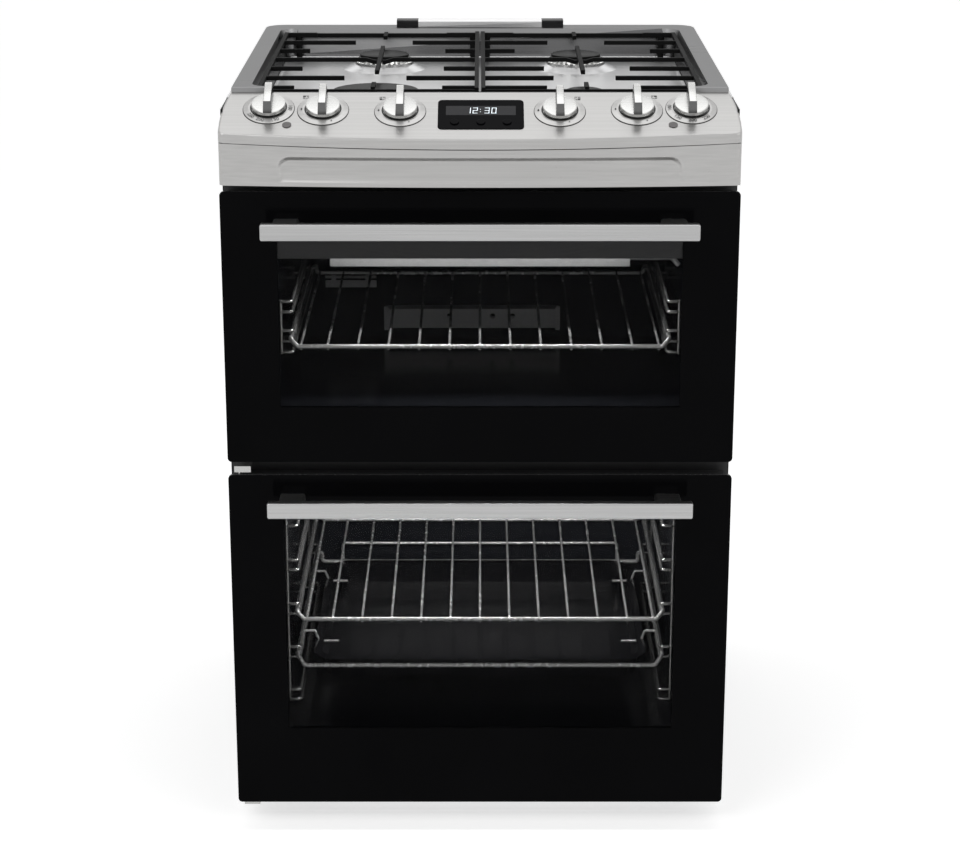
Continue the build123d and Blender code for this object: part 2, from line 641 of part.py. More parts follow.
def shelves():
    """Runners, two wire shelves, and the roasting pan in its cradle."""
    upper, lower = ladder(UPPER_RUNGS), ladder(lower_rungs())
    keep("shelf_runners", upper, mirrored(upper), lower, mirrored(lower))
    seat = RUNNER_RADIUS + SHELF_WIRE + GAP
    keep("upper_shelf", rack(UPPER_SHELF_RUNG + seat, SHELF_DROP, True))
    keep("lower_shelf", rack(LOWER_FIRST_RUNG + RUNG_PITCH * LOWER_SHELF_PAIR + seat, SHELF_DROP, True))

    rail = LOWER_FIRST_RUNG + RUNG_PITCH * PAN_PAIR + seat
    cradle = rack(rail, PAN_DROP, False)
    stop = PAN_STOP_WIDTH / 2
    low = rail - PAN_DROP
    cradle += bent_rod([(-stop, SHELF_BACK, low), (-stop, SHELF_BACK, low + PAN_STOP_HEIGHT),
                        (stop, SHELF_BACK, low + PAN_STOP_HEIGHT), (stop, SHELF_BACK, low)],
                       SHELF_BEND, GRID_WIRE * 1.3)
    rim = low + SHELF_WIRE
    half = PAN_WIDTH / 2
    hook = rim + SHEET / 2
    for depth in (PAN_FRONT + 60, PAN_BACK - 60):
        for x in (-1, 1):
            cradle += bent_rod([(x * (RUNNER_SPACING / 2 + SHELF_RAIL_OUT), depth, rail),
                                (x * (half + 10), depth, rail), (x * (half + 5), depth, hook - 3),
                                (x * (half - 20), depth, hook - 3)], 2.0, GRID_WIRE)
    middle = (PAN_FRONT + PAN_BACK) / 2
    length = PAN_BACK - PAN_FRONT
    outline = RectangleRounded(PAN_WIDTH, length, PAN_CORNER)
    bore = RectangleRounded(PAN_WIDTH - 2 * SHEET, length - 2 * SHEET, PAN_CORNER - SHEET)
    lip = RectangleRounded(PAN_WIDTH + 2 * PAN_RIM, length + 2 * PAN_RIM, PAN_CORNER + PAN_RIM)
    place = Pos(*point(0, middle, rim))
    body = extrude(place * outline, amount=-PAN_HEIGHT, taper=8)
    body -= extrude(place * bore, amount=-(PAN_HEIGHT - SHEET), taper=8)
    body += extrude(place * (lip - bore), amount=SHEET)
    keep("roasting_pan", cradle, body)


def door_frame(bottom, top, head):
    """Pressed frame behind a door's outer glass: a hollow ring round the window."""
    half = FRAME_HALF
    front, back = GLASS, GLASS + DOOR_FRAME_DEPTH
    low, high = bottom + FRAME_INSET, top - FRAME_INSET
    frame = block(-half, half, front, back, low, high)
    frame -= block(-half + STILE, half - STILE, front - 1, back + 1, low + STILE, high - head)
    frame -= block(-half + FRAME_WALL, half - FRAME_WALL, front + FRAME_WALL, back - FRAME_WALL,
                   low + FRAME_WALL, high - FRAME_WALL)
    return frame


def frame_bars(frame, bottom, top):
    """The same ring as four bars that meet edge to edge: two stiles, and two rails between them."""
    edge = FRAME_HALF - STILE
    middle = (bottom + top) / 2
    spans = ((-HALF_WIDTH, -edge, bottom, top), (edge, HALF_WIDTH, bottom, top),
             (-edge, edge, bottom, middle), (-edge, edge, middle, top))
    return [frame & block(x0, x1, 0, CASING_DEPTH, z0, z1) for x0, x1, z0, z1 in spans]


def door_glass(bottom, top):
    """Outer glass: a full-size pane with eased corners."""
    pane = block(-HALF_WIDTH, HALF_WIDTH, 0, GLASS, bottom, top)
    return fillet(pane.edges().filter_by(Axis.Y), DOOR_CORNER)


def inner_glass(bottom, top, head):
    reach = FRAME_HALF - STILE + INNER_GLASS_LAP
    back = GLASS + DOOR_FRAME_DEPTH
    low, high = bottom + FRAME_INSET + STILE - INNER_GLASS_LAP, top - FRAME_INSET - head + INNER_GLASS_LAP
    pane = block(-reach, reach, back, back + GLASS, low, high)
    return fillet(pane.edges().filter_by(Axis.Y), DOOR_CORNER)


def handle(top):
    """Straight bar on two posts."""
    half = HANDLE_LENGTH / 2
    bar = block(-half, half, -HANDLE_FRONT, -HANDLE_STAND_OFF, top - HANDLE_HEIGHT, top)
    bar = fillet(bar.edges(), HANDLE_ROUND)
    middle = top - HANDLE_HEIGHT / 2
    for x in (-POST_SPACING / 2, POST_SPACING / 2):
        post = block(x - POST_LENGTH / 2, x + POST_LENGTH / 2, -HANDLE_STAND_OFF - HANDLE_ROUND, 0,
                     middle - POST_HEIGHT / 2, middle + POST_HEIGHT / 2)
        bar += fillet(post.edges().filter_by(Axis.Y), POST_HEIGHT / 4)
    return bar


def doors():
    """Both doors. The upper drops down on pins in two ears, the lower swings on its left side."""
    keep("upper_door_glass", door_glass(UPPER_DOOR_BOTTOM, UPPER_DOOR_TOP))
    keep("upper_inner_glass", inner_glass(UPPER_DOOR_BOTTOM, UPPER_DOOR_TOP, UPPER_HEAD))
    keep("upper_door_handle", handle(UPPER_DOOR_TOP - UPPER_HANDLE_DROP))
    keep("lower_door_glass", door_glass(LOWER_DOOR_BOTTOM, LOWER_DOOR_TOP))
    keep("lower_inner_glass", inner_glass(LOWER_DOOR_BOTTOM, LOWER_DOOR_TOP, LOWER_HEAD))
    keep("lower_door_handle", handle(LOWER_DOOR_TOP - LOWER_HANDLE_DROP))

    frame = door_frame(UPPER_DOOR_BOTTOM, UPPER_DOOR_TOP, UPPER_HEAD)
    ear_half = EAR_THICKNESS / 2
    slot_half = ear_half + EAR_SLOT_CLEARANCE
    ears = []
    for x in (-EAR_PLACE, EAR_PLACE):
        cheeks = block(x - PIN_LENGTH, x + PIN_LENGTH, GLASS, GLASS + DOOR_FRAME_DEPTH,
                       UPPER_DOOR_BOTTOM + FRAME_INSET, UPPER_AXIS_HEIGHT + 2 * EAR_RADIUS)
        frame += cheeks
        frame -= block(x - slot_half, x + slot_half, UPPER_AXIS_DEPTH - EAR_RADIUS - EAR_SLOT_CLEARANCE,
                       DOOR_THICKNESS, UPPER_DOOR_BOTTOM, UPPER_AXIS_HEIGHT + EAR_RADIUS + EAR_SLOT_CLEARANCE)
        frame += rod((x - slot_half, UPPER_AXIS_DEPTH, UPPER_AXIS_HEIGHT),
                     (x + slot_half, UPPER_AXIS_DEPTH, UPPER_AXIS_HEIGHT), HINGE_PIN)
        ear = rod((x - ear_half, UPPER_AXIS_DEPTH, UPPER_AXIS_HEIGHT),
                  (x + ear_half, UPPER_AXIS_DEPTH, UPPER_AXIS_HEIGHT), EAR_RADIUS)
        ear += block(x - ear_half, x + ear_half, UPPER_AXIS_DEPTH, CASING_DEPTH,
                     UPPER_AXIS_HEIGHT - EAR_RADIUS, UPPER_AXIS_HEIGHT + EAR_RADIUS)
        ear -= rod((x - EAR_THICKNESS, UPPER_AXIS_DEPTH, UPPER_AXIS_HEIGHT),
                   (x + EAR_THICKNESS, UPPER_AXIS_DEPTH, UPPER_AXIS_HEIGHT), HINGE_PIN + PIN_CLEARANCE)
        ears.append(ear)
    keep("upper_door_frame", *frame_bars(frame, UPPER_DOOR_BOTTOM, UPPER_DOOR_TOP))

    frame = door_frame(LOWER_DOOR_BOTTOM, LOWER_DOOR_TOP, LOWER_HEAD)
    inner = LOWER_AXIS_X + BRACKET_LENGTH / 2
    brackets = []
    for end, outward in ((LOWER_DOOR_TOP, 1), (LOWER_DOOR_BOTTOM, -1)):
        near = end + outward * BRACKET_CLEARANCE
        far = near + outward * BRACKET_THICKNESS
        tip = end - outward * (FRAME_INSET + PIN_LENGTH)
        boss_end = tip - outward * 2 * FRAME_WALL
        frame += block(-FRAME_HALF, inner, GLASS, GLASS + DOOR_FRAME_DEPTH,
                       end - outward * FRAME_INSET, boss_end)
        frame -= rod((LOWER_AXIS_X, LOWER_AXIS_DEPTH, end), (LOWER_AXIS_X, LOWER_AXIS_DEPTH, tip - outward),
                     HINGE_PIN + PIN_CLEARANCE)
        bracket = block(LOWER_AXIS_X - LOWER_AXIS_INSET / 2, inner, GLASS, CASING_DEPTH, near, far)
        bracket += rod((LOWER_AXIS_X, LOWER_AXIS_DEPTH, near), (LOWER_AXIS_X, LOWER_AXIS_DEPTH, tip), HINGE_PIN)
        if outward > 0:
            bracket += block(LOWER_AXIS_X - LOWER_AXIS_INSET / 2, inner, GLASS, GLASS + BRACKET_THICKNESS,
                             near, far + BRACKET_LIP)
        brackets.append(bracket)
    keep("lower_door_frame", *frame_bars(frame, LOWER_DOOR_BOTTOM, LOWER_DOOR_TOP))
    keep("hinge_brackets", *ears, *brackets)


def panel_plan(inset):
    """Outline of the control panel and fascia seen from above, drawn in by inset and open-ended behind."""
    half, rear = HALF_WIDTH - inset, PANEL_REAR_WIDTH / 2 - inset
    front, turn, seam, back = at(inset), at(PANEL_DEPTH / 4), at(PANEL_DEPTH), at(2 * PANEL_DEPTH)
    bow = ThreePointArc((-half, front), (0, at(inset - PANEL_BOW)), (half, front))
    edge = [bow, Line((half, front), (half, turn)), TangentArc((half, turn), (rear, seam), tangent=(0, 1)),
            Line((rear, seam), (rear, back)), Line((rear, back), (-rear, back)),
            Line((-rear, back), (-rear, seam)),
            TangentArc((-half, turn), (-rear, seam), tangent=(0, 1)), Line((-half, turn), (-half, front))]
    face = make_face(Curve() + edge)
    corners = face.vertices().filter_by(lambda corner: abs(corner.Y - front) < 0.01)
    return fillet(corners, PANEL_CORNER - inset)


def lip_height(depth):
    """Height of the control panel's lower edge, which follows its face where the front bows out."""
    return panel_height(min(depth, 0)) - PANEL_LIP


def control_panel():
    """Sloped stainless panel, bowed forward, with its lip, and the holes for what it carries."""
    ahead = -2 * PANEL_BOW
    drop = SHEET / math.cos(math.radians(PANEL_SLOPE))
    tall = HOB_HEIGHT + 50
    outer = Pos(0, 0, FASCIA_BOTTOM) * extrude(panel_plan(0), amount=tall - FASCIA_BOTTOM)
    outer &= side_profile([(ahead, lip_height(ahead)), (0, lip_height(0)), (PANEL_DEPTH, lip_height(0)),
                           (PANEL_DEPTH, panel_height(PANEL_DEPTH)), (ahead, panel_height(ahead))], WIDTH)
    top = outer.faces().sort_by(Axis.Z)[-1]
    rims = [edge for edge in top.edges() if edge.center().Y < at(PANEL_DEPTH) - 1]
    outer = fillet(rims, PANEL_EDGE)
    inner = Pos(0, 0, FASCIA_BOTTOM) * extrude(panel_plan(SHEET), amount=tall - FASCIA_BOTTOM)
    inner &= side_profile([(ahead, FASCIA_BOTTOM), (2 * PANEL_DEPTH, FASCIA_BOTTOM),
                           (2 * PANEL_DEPTH, panel_height(2 * PANEL_DEPTH) - drop),
                           (ahead, panel_height(ahead) - drop)], WIDTH)
    panel = outer - inner
    for x in KNOB_PLACES:
        panel -= on_panel(x, knob_depth(x), -4 * SHEET) * disc(STEM_RADIUS + 2, 8 * SHEET)
    window = RectangleRounded(CLOCK_WIDTH + 2 * GAP, CLOCK_LENGTH + 2 * GAP, CLOCK_CORNER)
    panel -= extrude(on_panel(CLOCK_PLACE, CLOCK_DEPTH, -4 * SHEET) * window, amount=8 * SHEET)
    for x in (-LAMP_PLACE, LAMP_PLACE):
        panel -= on_panel(x, LAMP_DEPTH, -4 * SHEET) * disc(LAMP_RADIUS, 8 * SHEET)
    keep("control_panel", panel)

    lenses = [on_panel(x, LAMP_DEPTH, LAMP_PROUD - LAMP_LENGTH) * disc(LAMP_RADIUS, LAMP_LENGTH)
              for x in (-LAMP_PLACE, LAMP_PLACE)]
    keep("indicator_lamps", *lenses)


def scooped(solid, inset):
    """The same solid with the fascia's long scoop in it, deep at the top and running out at the bottom."""
    low, high = FASCIA_BOTTOM + RECESS_BOTTOM, FASCIA_BOTTOM + RECESS_TOP
    outline = RectangleRounded(RECESS_WIDTH + 2 * inset, high - low + 2 * inset, RECESS_CORNER + inset)
    front = Plane(origin=point(0, RECESS_DEPTH, (low + high) / 2), x_dir=(1, 0, 0), z_dir=(0, -1, 0))
    cut = extrude(front * outline, amount=RECESS_DEPTH + 3 * PANEL_BOW)
    floor = loft([Pos(0, 0, low - inset) * panel_plan(inset),
                  Pos(0, 0, high + inset) * panel_plan(inset + RECESS_DEPTH)])
    return solid - (cut - floor)


def fascia():
    """Stainless strip between control panel and upper door."""
    ahead = -2 * PANEL_BOW
    bottom, top = FASCIA_BOTTOM, lip_height(0) - SEAM
    outer = Pos(0, 0, bottom) * extrude(panel_plan(0), amount=top - bottom)
    outer &= side_profile([(ahead, bottom), (CASING_DEPTH, bottom), (CASING_DEPTH, top), (0, top),
                           (ahead, lip_height(ahead) - SEAM)], WIDTH)
    inner = Pos(0, 0, bottom - 1) * extrude(panel_plan(SHEET), amount=top - bottom)
    inner &= side_profile([(ahead, bottom - 1), (2 * CASING_DEPTH, bottom - 1), (2 * CASING_DEPTH, top - SHEET),
                           (0, top - SHEET), (ahead, lip_height(ahead) - SEAM - SHEET)], WIDTH)
    open_top = block(-HALF_WIDTH, HALF_WIDTH, FASCIA_FLANGE, 2 * CASING_DEPTH, top - 2 * SHEET, top + 1)
    open_top &= Pos(0, 0, bottom) * extrude(panel_plan(SHEET), amount=top - bottom + 1)
    keep("fascia", scooped(outer, 0) - scooped(inner, SHEET) - open_top)


def grip():
    """Raised blade across the knob, narrower on top, with sloping ends."""
    foot = Rectangle(GRIP_WIDTH, GRIP_LENGTH)
    top = Pos(0, GRIP_SKEW / 2, GRIP_HEIGHT) * Rectangle(GRIP_TOP_WIDTH, GRIP_LENGTH - GRIP_SKEW)
    blade = loft([foot, top])
    return fillet(blade.faces().sort_by(Axis.Z)[-1].edges(), 1.2)


def knobs():
    """Knobs with their stems, the sprung plungers they push, tap bodies and the fixed rings."""
    rings, taps = [], []
    for number, x in enumerate(KNOB_PLACES, start=1):
        depth = knob_depth(x)
        cap = Pos(0, 0, KNOB_LIFT) * disc(KNOB_RADIUS, KNOB_THICKNESS)
        cap = fillet(cap.edges().filter_by(GeomType.CIRCLE).sort_by(Axis.Z)[-1], 1.0)
        cap += Pos(0, 0, KNOB_LIFT + KNOB_THICKNESS - 0.5) * grip()
        cap += Pos(0, 0, KNOB_LIFT - STEM_LENGTH) * disc(STEM_RADIUS, STEM_LENGTH + 1)
        keep(f"knob_{number}", on_panel(x, depth) * cap)

        ring = Cone(BEZEL_RADIUS, BEZEL_RADIUS - 4 * (BEZEL_HEIGHT - BEZEL_EDGE), BEZEL_HEIGHT - BEZEL_EDGE,
                    align=(Align.CENTER, Align.CENTER, Align.MIN))
        ring = disc(BEZEL_RADIUS, BEZEL_EDGE) + Pos(0, 0, BEZEL_EDGE) * ring
        rings.append(on_panel(x, depth) * (ring - Pos(0, 0, -1) * disc(KNOB_RADIUS + KNOB_SIDE_GAP, BEZEL_HEIGHT + 2)))

        sleeve = disc(PLUNGER_RADIUS, PLUNGER_HEIGHT) - Pos(0, 0, -1) * disc(STEM_RADIUS + STEM_CLEARANCE,
                                                                           PLUNGER_HEIGHT + 2)
        keep(f"tap_plunger_{number}", on_panel(x, depth, -PLUNGER_TOP - PLUNGER_HEIGHT) * sleeve)

        well = PLUNGER_TOP - TAP_TOP + PLUNGER_HEIGHT + PUSH_TRAVEL + 1
        body = disc(TAP_RADIUS, TAP_LENGTH)
        body -= Pos(0, 0, TAP_LENGTH - well) * disc(PLUNGER_RADIUS + STEM_CLEARANCE, well + 1)
        body = on_panel(x, depth, -TAP_TOP - TAP_LENGTH) * body
        foot = on_panel(x, depth, -TAP_TOP - TAP_LENGTH + TAP_RADIUS / 2).origin
        body += rod((x, foot.Y - at(0), RAIL_HEIGHT), (x, RAIL_DEPTH - RAIL_RADIUS, RAIL_HEIGHT), TAP_RADIUS / 3)
        taps.append(body)
    keep("knob_bezels", *rings)
    keep("gas_taps", *taps)


def clock():
    """Clock: dark window with three push buttons, and the module behind it."""
    face = RectangleRounded(CLOCK_WIDTH, CLOCK_LENGTH, CLOCK_CORNER)
    under = CLOCK_THICKNESS - CLOCK_PROUD
    window = extrude(on_panel(CLOCK_PLACE, CLOCK_DEPTH, -under) * face, amount=CLOCK_THICKNESS)
    box = RectangleRounded(CLOCK_WIDTH - 4, CLOCK_LENGTH - 4, CLOCK_CORNER - 2)
    module = extrude(on_panel(CLOCK_PLACE, CLOCK_DEPTH, -under - CLOCK_BOX_HEIGHT) * box,
                     amount=CLOCK_BOX_HEIGHT)
    row = on_panel(CLOCK_PLACE, CLOCK_DEPTH)
    for number in (1, 2, 3):
        place = row * Pos((number - 2) * BUTTON_PITCH, -BUTTON_DROP, 0)
        window -= place * Pos(0, 0, -under - 1) * disc(BUTTON_RADIUS + BUTTON_SIDE_GAP, CLOCK_THICKNESS + 2)
        module -= place * Pos(0, 0, -under - CLOCK_BOX_GAP) * disc(BUTTON_RADIUS + BUTTON_SIDE_GAP,
                                                                 CLOCK_BOX_GAP + 1)
        length = under + CLOCK_BOX_GAP - BUTTON_TRAVEL - GAP + BUTTON_PROUD + CLOCK_PROUD
        button = disc(BUTTON_RADIUS, length)
        button = fillet(button.edges().filter_by(GeomType.CIRCLE).sort_by(Axis.Z)[-1], 0.6)
        keep(f"clock_button_{number}", place * Pos(0, 0, CLOCK_PROUD + BUTTON_PROUD - length) * button)
    keep("clock_glass", window)
    keep("clock_module", module)


def burner_places():
    """X and depth of each hob burner."""
    near, far = BURNER_FRONT, BURNER_FRONT + BURNER_PITCH
    return {"rear_left": (-BURNER_X, far), "rear_right": (BURNER_X, far),
            "front_left": (-BURNER_X, near), "front_right": (BURNER_X, near)}


def hob_tray():
    """Pressed hob top: flat rim, sunken well with rounded corners, a dome for each burner."""
    half = HOB_WIDTH / 2
    length = HOB_BACK - HOB_FRONT
    middle = (HOB_BACK + HOB_FRONT) / 2
    side_top = HOB_HEIGHT
    outline = block(-half, half, HOB_FRONT, HOB_BACK, SKIRT_BOTTOM, side_top)
    rear = outline.edges().filter_by(Axis.Z).sort_by(Axis.Y)[-2:]
    outer = fillet(rear, HOB_CORNER)
    outer = chamfer(outer.faces().sort_by(Axis.Z)[-1].edges(), 0.6)
    core = block(-half + SHEET, half - SHEET, HOB_FRONT + SHEET, HOB_BACK - SHEET,
                 SKIRT_BOTTOM - 1, side_top - SHEET)
    core = fillet(core.edges().filter_by(Axis.Z).sort_by(Axis.Y)[-2:], HOB_CORNER - SHEET)
    ledge = block(-HALF_WIDTH, HALF_WIDTH, CASING_DEPTH + HOB_FRONT, BODY_DEPTH, SKIRT_BOTTOM, SKIRT_BOTTOM + SHEET)
    ledge -= block(-half + SHEET, half - SHEET, 0, HOB_BACK - SHEET, SKIRT_BOTTOM - 1, SKIRT_BOTTOM + SHEET + 1)
    well_width = HOB_WIDTH - 2 * RIM_SIDE
    well_length = length - RIM_BACK - RIM_FRONT
    well_middle = middle - (RIM_BACK - RIM_FRONT) / 2
    mouth = Pos(0, at(well_middle), side_top) * RectangleRounded(well_width, well_length, WELL_CORNER)
    hollow = extrude(mouth, amount=-WELL_DEPTH, taper=WELL_TAPER)
    hollow = fillet(hollow.faces().sort_by(Axis.Z)[0].edges(), WELL_FLOOR_ROUND)
    wide = Pos(0, at(well_middle), side_top) * RectangleRounded(well_width + 2 * SHEET, well_length + 2 * SHEET,
                                                                WELL_CORNER + SHEET)
    shell = extrude(wide, amount=-WELL_DEPTH - SHEET, taper=WELL_TAPER)
    shell = fillet(shell.faces().sort_by(Axis.Z)[0].edges(), WELL_FLOOR_ROUND + SHEET)
    tray = (outer - core) + ledge + shell - hollow
    for name, (x, depth) in burner_places().items():
        top_radius = CAP_RADII[name] + CROWN_FLARE
        dome = Cone(top_radius + DOME_SPREAD, top_radius, DOME_HEIGHT, align=(Align.CENTER, Align.CENTER, Align.MIN))
        tray += Pos(*point(x, depth, WELL_FLOOR)) * dome
        bore = CAP_RADII[name] * SPIGOT_SHARE + BASE_WALL
        tray -= drum((x, depth, WELL_FLOOR - 2 * SHEET), bore, DOME_HEIGHT + 4 * SHEET)
        tray -= drum((x, depth + electrode_reach(name), WELL_FLOOR - 2 * SHEET), ELECTRODE_RADIUS,
                     DOME_HEIGHT + 4 * SHEET)
    front_cut = block(-well_width / 2 + WELL_CORNER, well_width / 2 - WELL_CORNER, HOB_FRONT - 1,
                      HOB_FRONT + RIM_FRONT + 4, HOB_HEIGHT - RIM_FRONT_DROP, HOB_HEIGHT + 1)
    keep("hob_tray", tray - front_cut)


def electrode_reach(name):
    """How far behind its burner's centre the spark electrode stands."""
    return CAP_RADII[name] + CROWN_FLARE + ELECTRODE_GAP


def burners():
    """Burner bases, crowns, caps and spark electrodes."""
    bases, crowns, electrodes = [], [], []
    for name, (x, depth) in burner_places().items():
        radius = CAP_RADII[name]
        spigot = radius * SPIGOT_SHARE
        low = DOME_TOP - BASE_HEIGHT
        cup = drum((x, depth, low), spigot + BASE_WALL, BASE_HEIGHT)
        cup -= drum((x, depth, low + BASE_WALL), spigot, BASE_HEIGHT)
        bases.append(cup)
        crown = Pos(*point(x, depth, DOME_TOP)) * Cone(radius + CROWN_FLARE, radius + CROWN_FLARE / 3, CROWN_HEIGHT,
                                                      align=(Align.CENTER, Align.CENTER, Align.MIN))
        crown += drum((x, depth, DOME_TOP - SPIGOT_LENGTH), spigot, SPIGOT_LENGTH + 1)
        crown -= drum((x, depth, DOME_TOP - SPIGOT_LENGTH - 1), spigot - BASE_WALL, SPIGOT_LENGTH + CROWN_HEIGHT / 2)
        crowns.append(crown)
        low = DOME_TOP + CROWN_HEIGHT + GAP
        cap = drum((x, depth, low), radius, CAP_THICKNESS - 1)
        cap += Pos(*point(x, depth, low + CAP_THICKNESS - 1)) * Cone(
            radius, radius * 0.8, CAP_CROWN, align=(Align.CENTER, Align.CENTER, Align.MIN))
        keep(f"burner_cap_{name}", cap)
        tip = DOME_TOP + CROWN_HEIGHT
        electrodes.append(drum((x, depth + electrode_reach(name), tip - ELECTRODE_LENGTH),
                               ELECTRODE_RADIUS, ELECTRODE_LENGTH))
    keep("burner_bases", *bases)
    keep("burner_crowns", *crowns)
    keep("ignition_electrodes", *electrodes)


def support_bar(x0, x1, d0, d1, top=SUPPORT_TOP):
    return block(x0, x1, d0, d1, top - SUPPORT_BAR_HEIGHT, top)


def support_row(row, wide):
    """Bars across one half at a row, each as its two ends: the middle row is made by dipped_bar."""
    inner, outer = SUPPORT_HALF_GAP + SUPPORT_BAR, SUPPORT_OUTER - SUPPORT_BAR
    if row in (1, ROWS - 2):
        return [(inner, BURNER_X - TIP_GAP), (BURNER_X + TIP_GAP, outer)]
    stub = WIDE_STUB if wide and row < ROWS // 2 else STUB
    return [(inner, inner + stub), (outer - stub, outer)]


def dipped_bar(depth):
    """Middle row: a bar on each side of the finger it meets, which slopes down towards it."""
    inner, outer = SUPPORT_HALF_GAP + SUPPORT_BAR, SUPPORT_OUTER - SUPPORT_BAR
    dip = SUPPORT_TOP - MID_DIP
    halves = []
    for end, away in ((inner, -1), (outer, 1)):
        flat, slope = BURNER_X + away * MID_DIP_WIDTH / 5, BURNER_X + away * MID_DIP_WIDTH / 2
        upper = [(end, SUPPORT_TOP), (slope, SUPPORT_TOP), (flat, dip), (BURNER_X + away * SUPPORT_BAR / 2, dip)]
        lower = [(x, z - SUPPORT_BAR_HEIGHT) for x, z in reversed(upper)]
        face = Plane.XZ * Polygon(*(upper + lower), align=None)
        halves.append(Pos(0, at(depth), 0) * extrude(face, amount=SUPPORT_BAR / 2, both=True))
    return halves


def end_bar():
    """Low bar across the front of a half: its outer end turns along the rounded corner of the well."""
    turn = SUPPORT_BAR * (2 ** 0.5 - 1)
    near, far = SUPPORT_FRONT, SUPPORT_FRONT + SUPPORT_BAR
    start, outer = SUPPORT_HALF_GAP + SUPPORT_BAR, SUPPORT_OUTER
    bend = outer - SUPPORT_CORNER
    end = near + SUPPORT_CORNER + turn
    plan = [(start, near), (bend, near), (outer, near + SUPPORT_CORNER), (outer, end),
            (outer - SUPPORT_BAR, end), (bend - turn, far), (start, far)]
    face = Polygon(*[(x, at(depth)) for x, depth in plan], align=None)
    low = SUPPORT_TOP - SUPPORT_BAR_HEIGHT * 3 / 2
    return Pos(0, 0, low) * extrude(face, amount=SUPPORT_BAR_HEIGHT), end


def pan_support(side):
    """One half of the pan supports: long bars, end bars, short stubs, burner fingers and legs, edge to edge."""
    inner, outer = SUPPORT_HALF_GAP, SUPPORT_OUTER
    half = SUPPORT_BAR / 2
    front, end = end_bar()
    rear = mirror(front, about=Plane.XZ.offset(-at((SUPPORT_FRONT + SUPPORT_BACK) / 2)))
    bars = [front, rear, support_bar(inner, inner + SUPPORT_BAR, SUPPORT_FRONT, SUPPORT_BACK),
            support_bar(outer - SUPPORT_BAR, outer, end, SUPPORT_FRONT + SUPPORT_BACK - end)]
    for row in range(ROWS):
        depth = ROW_FRONT + ROW_PITCH * row
        if row == ROWS // 2:
            bars += dipped_bar(depth)
        else:
            bars += [support_bar(x0, x1, depth - half, depth + half) for x0, x1 in support_row(row, side > 0)]
    first, last = BURNER_FRONT, BURNER_FRONT + BURNER_PITCH
    for near, far in ((SUPPORT_FRONT + SUPPORT_BAR, first - REACH_GAP), (first + REACH_GAP, last - REACH_GAP),
                      (last + REACH_GAP, SUPPORT_BACK - SUPPORT_BAR)):
        bars.append(support_bar(BURNER_X - half, BURNER_X + half, near, far))
    under = SUPPORT_TOP - SUPPORT_BAR_HEIGHT
    for x in (inner + LEG_INSET, outer - LEG_OUTER_INSET):
        for row in (0, ROWS - 1):
            place = (x, ROW_FRONT + ROW_PITCH * row, WELL_FLOOR + GAP)
            bars.append(drum(place, LEG_RADIUS, under - WELL_FLOOR - GAP))
    return bars if side > 0 else [mirrored(bar) for bar in bars]


def pan_supports():
    keep("pan_support_left", *pan_support(-1))
    keep("pan_support_right", *pan_support(1))


def flue_trim():
    """Raised cover over the oven flue at the back of the hob."""
    half = FLUE_WIDTH / 2
    back = HOB_BACK
    cover = block(-half, half, back - FLUE_DEPTH, back, HOB_HEIGHT, HOB_HEIGHT + FLUE_HEIGHT)
    cover = fillet(cover.edges().filter_by(Axis.X).sort_by(Axis.Z)[-2:], FLUE_HEIGHT / 4)
    cover -= block(-half + FLUE_END, half - FLUE_END, back - FLUE_DEPTH / 2, back + 1,
                   HOB_HEIGHT + SHEET, HOB_HEIGHT + FLUE_HEIGHT - SHEET)
    keep("flue_trim", cover)


def gas_pipes():
    """Rail with its threaded inlet at the back, and the pipes from the taps to the burners."""
    across = INLET_PLACE - 2 * RAIL_RADIUS
    inlet = BACK_PLATE_DEPTH + SHEET + GAP
    rail = bent_rod([(-across, RAIL_DEPTH, RAIL_HEIGHT), (INLET_PLACE, RAIL_DEPTH, RAIL_HEIGHT),
                     (INLET_PLACE, inlet + INLET_LENGTH / 2, RAIL_HEIGHT)], 2 * RAIL_RADIUS, RAIL_RADIUS)
    rail += rod((INLET_PLACE, inlet, RAIL_HEIGHT), (INLET_PLACE, inlet + INLET_LENGTH, RAIL_HEIGHT), INLET_RADIUS)
    pipes = [rail]
    start = RAIL_DEPTH + RAIL_RADIUS
    low = DOME_TOP - BASE_HEIGHT
    serves = zip(KNOB_PLACES[1:-1], ("rear_left", "front_left", "front_right", "rear_right"))
    for x, name in serves:
        centre_x, depth = burner_places()[name]
        pipes.append(bent_rod([(x, start, RAIL_HEIGHT), (x, start + 3 * PIPE_BEND, RAIL_HEIGHT),
                               (centre_x, depth, RAIL_HEIGHT), (centre_x, depth, low)]
                              if depth > 2 * BURNER_FRONT else
                              [(x, start, RAIL_HEIGHT), (centre_x, depth, RAIL_HEIGHT), (centre_x, depth, low)],
                              PIPE_BEND / 3, PIPE_RADIUS))
    keep("gas_rail", *pipes)


def fasteners():
    """Pan-head screws that hold the back panel to the side panels' flanges."""
    screws = []
    low = BASE_BOTTOM + BASE_UPSTAND + SCREW_PITCH / 2
    count = int((SKIRT_BOTTOM - low) // SCREW_PITCH) + 1
    for x in (-SIDE_INNER + 2 * SCREW_HEAD, SIDE_INNER - 2 * SCREW_HEAD):
        for i in range(count):
            z = low + SCREW_PITCH * i
            face = BACK_PLATE_DEPTH + SHEET
            screw = rod((x, face, z), (x, face + SCREW_PROUD, z), SCREW_HEAD)
            screws.append(screw)
    keep("fasteners", *screws)


def main():
    casing()
    feet()
    ovens()
    oven_fittings()
    shelves()
    doors()
    control_panel()
    fascia()
    knobs()
    clock()
    hob_tray()
    burners()
    pan_supports()
    flue_trim()
    gas_pipes()
    fasteners()
    os.makedirs("parts", exist_ok=True)
    for name, shape in nodes.items():
        export_step(shape, f"parts/{name}.step")
    print(len(nodes), "nodes")


main()
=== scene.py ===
import math

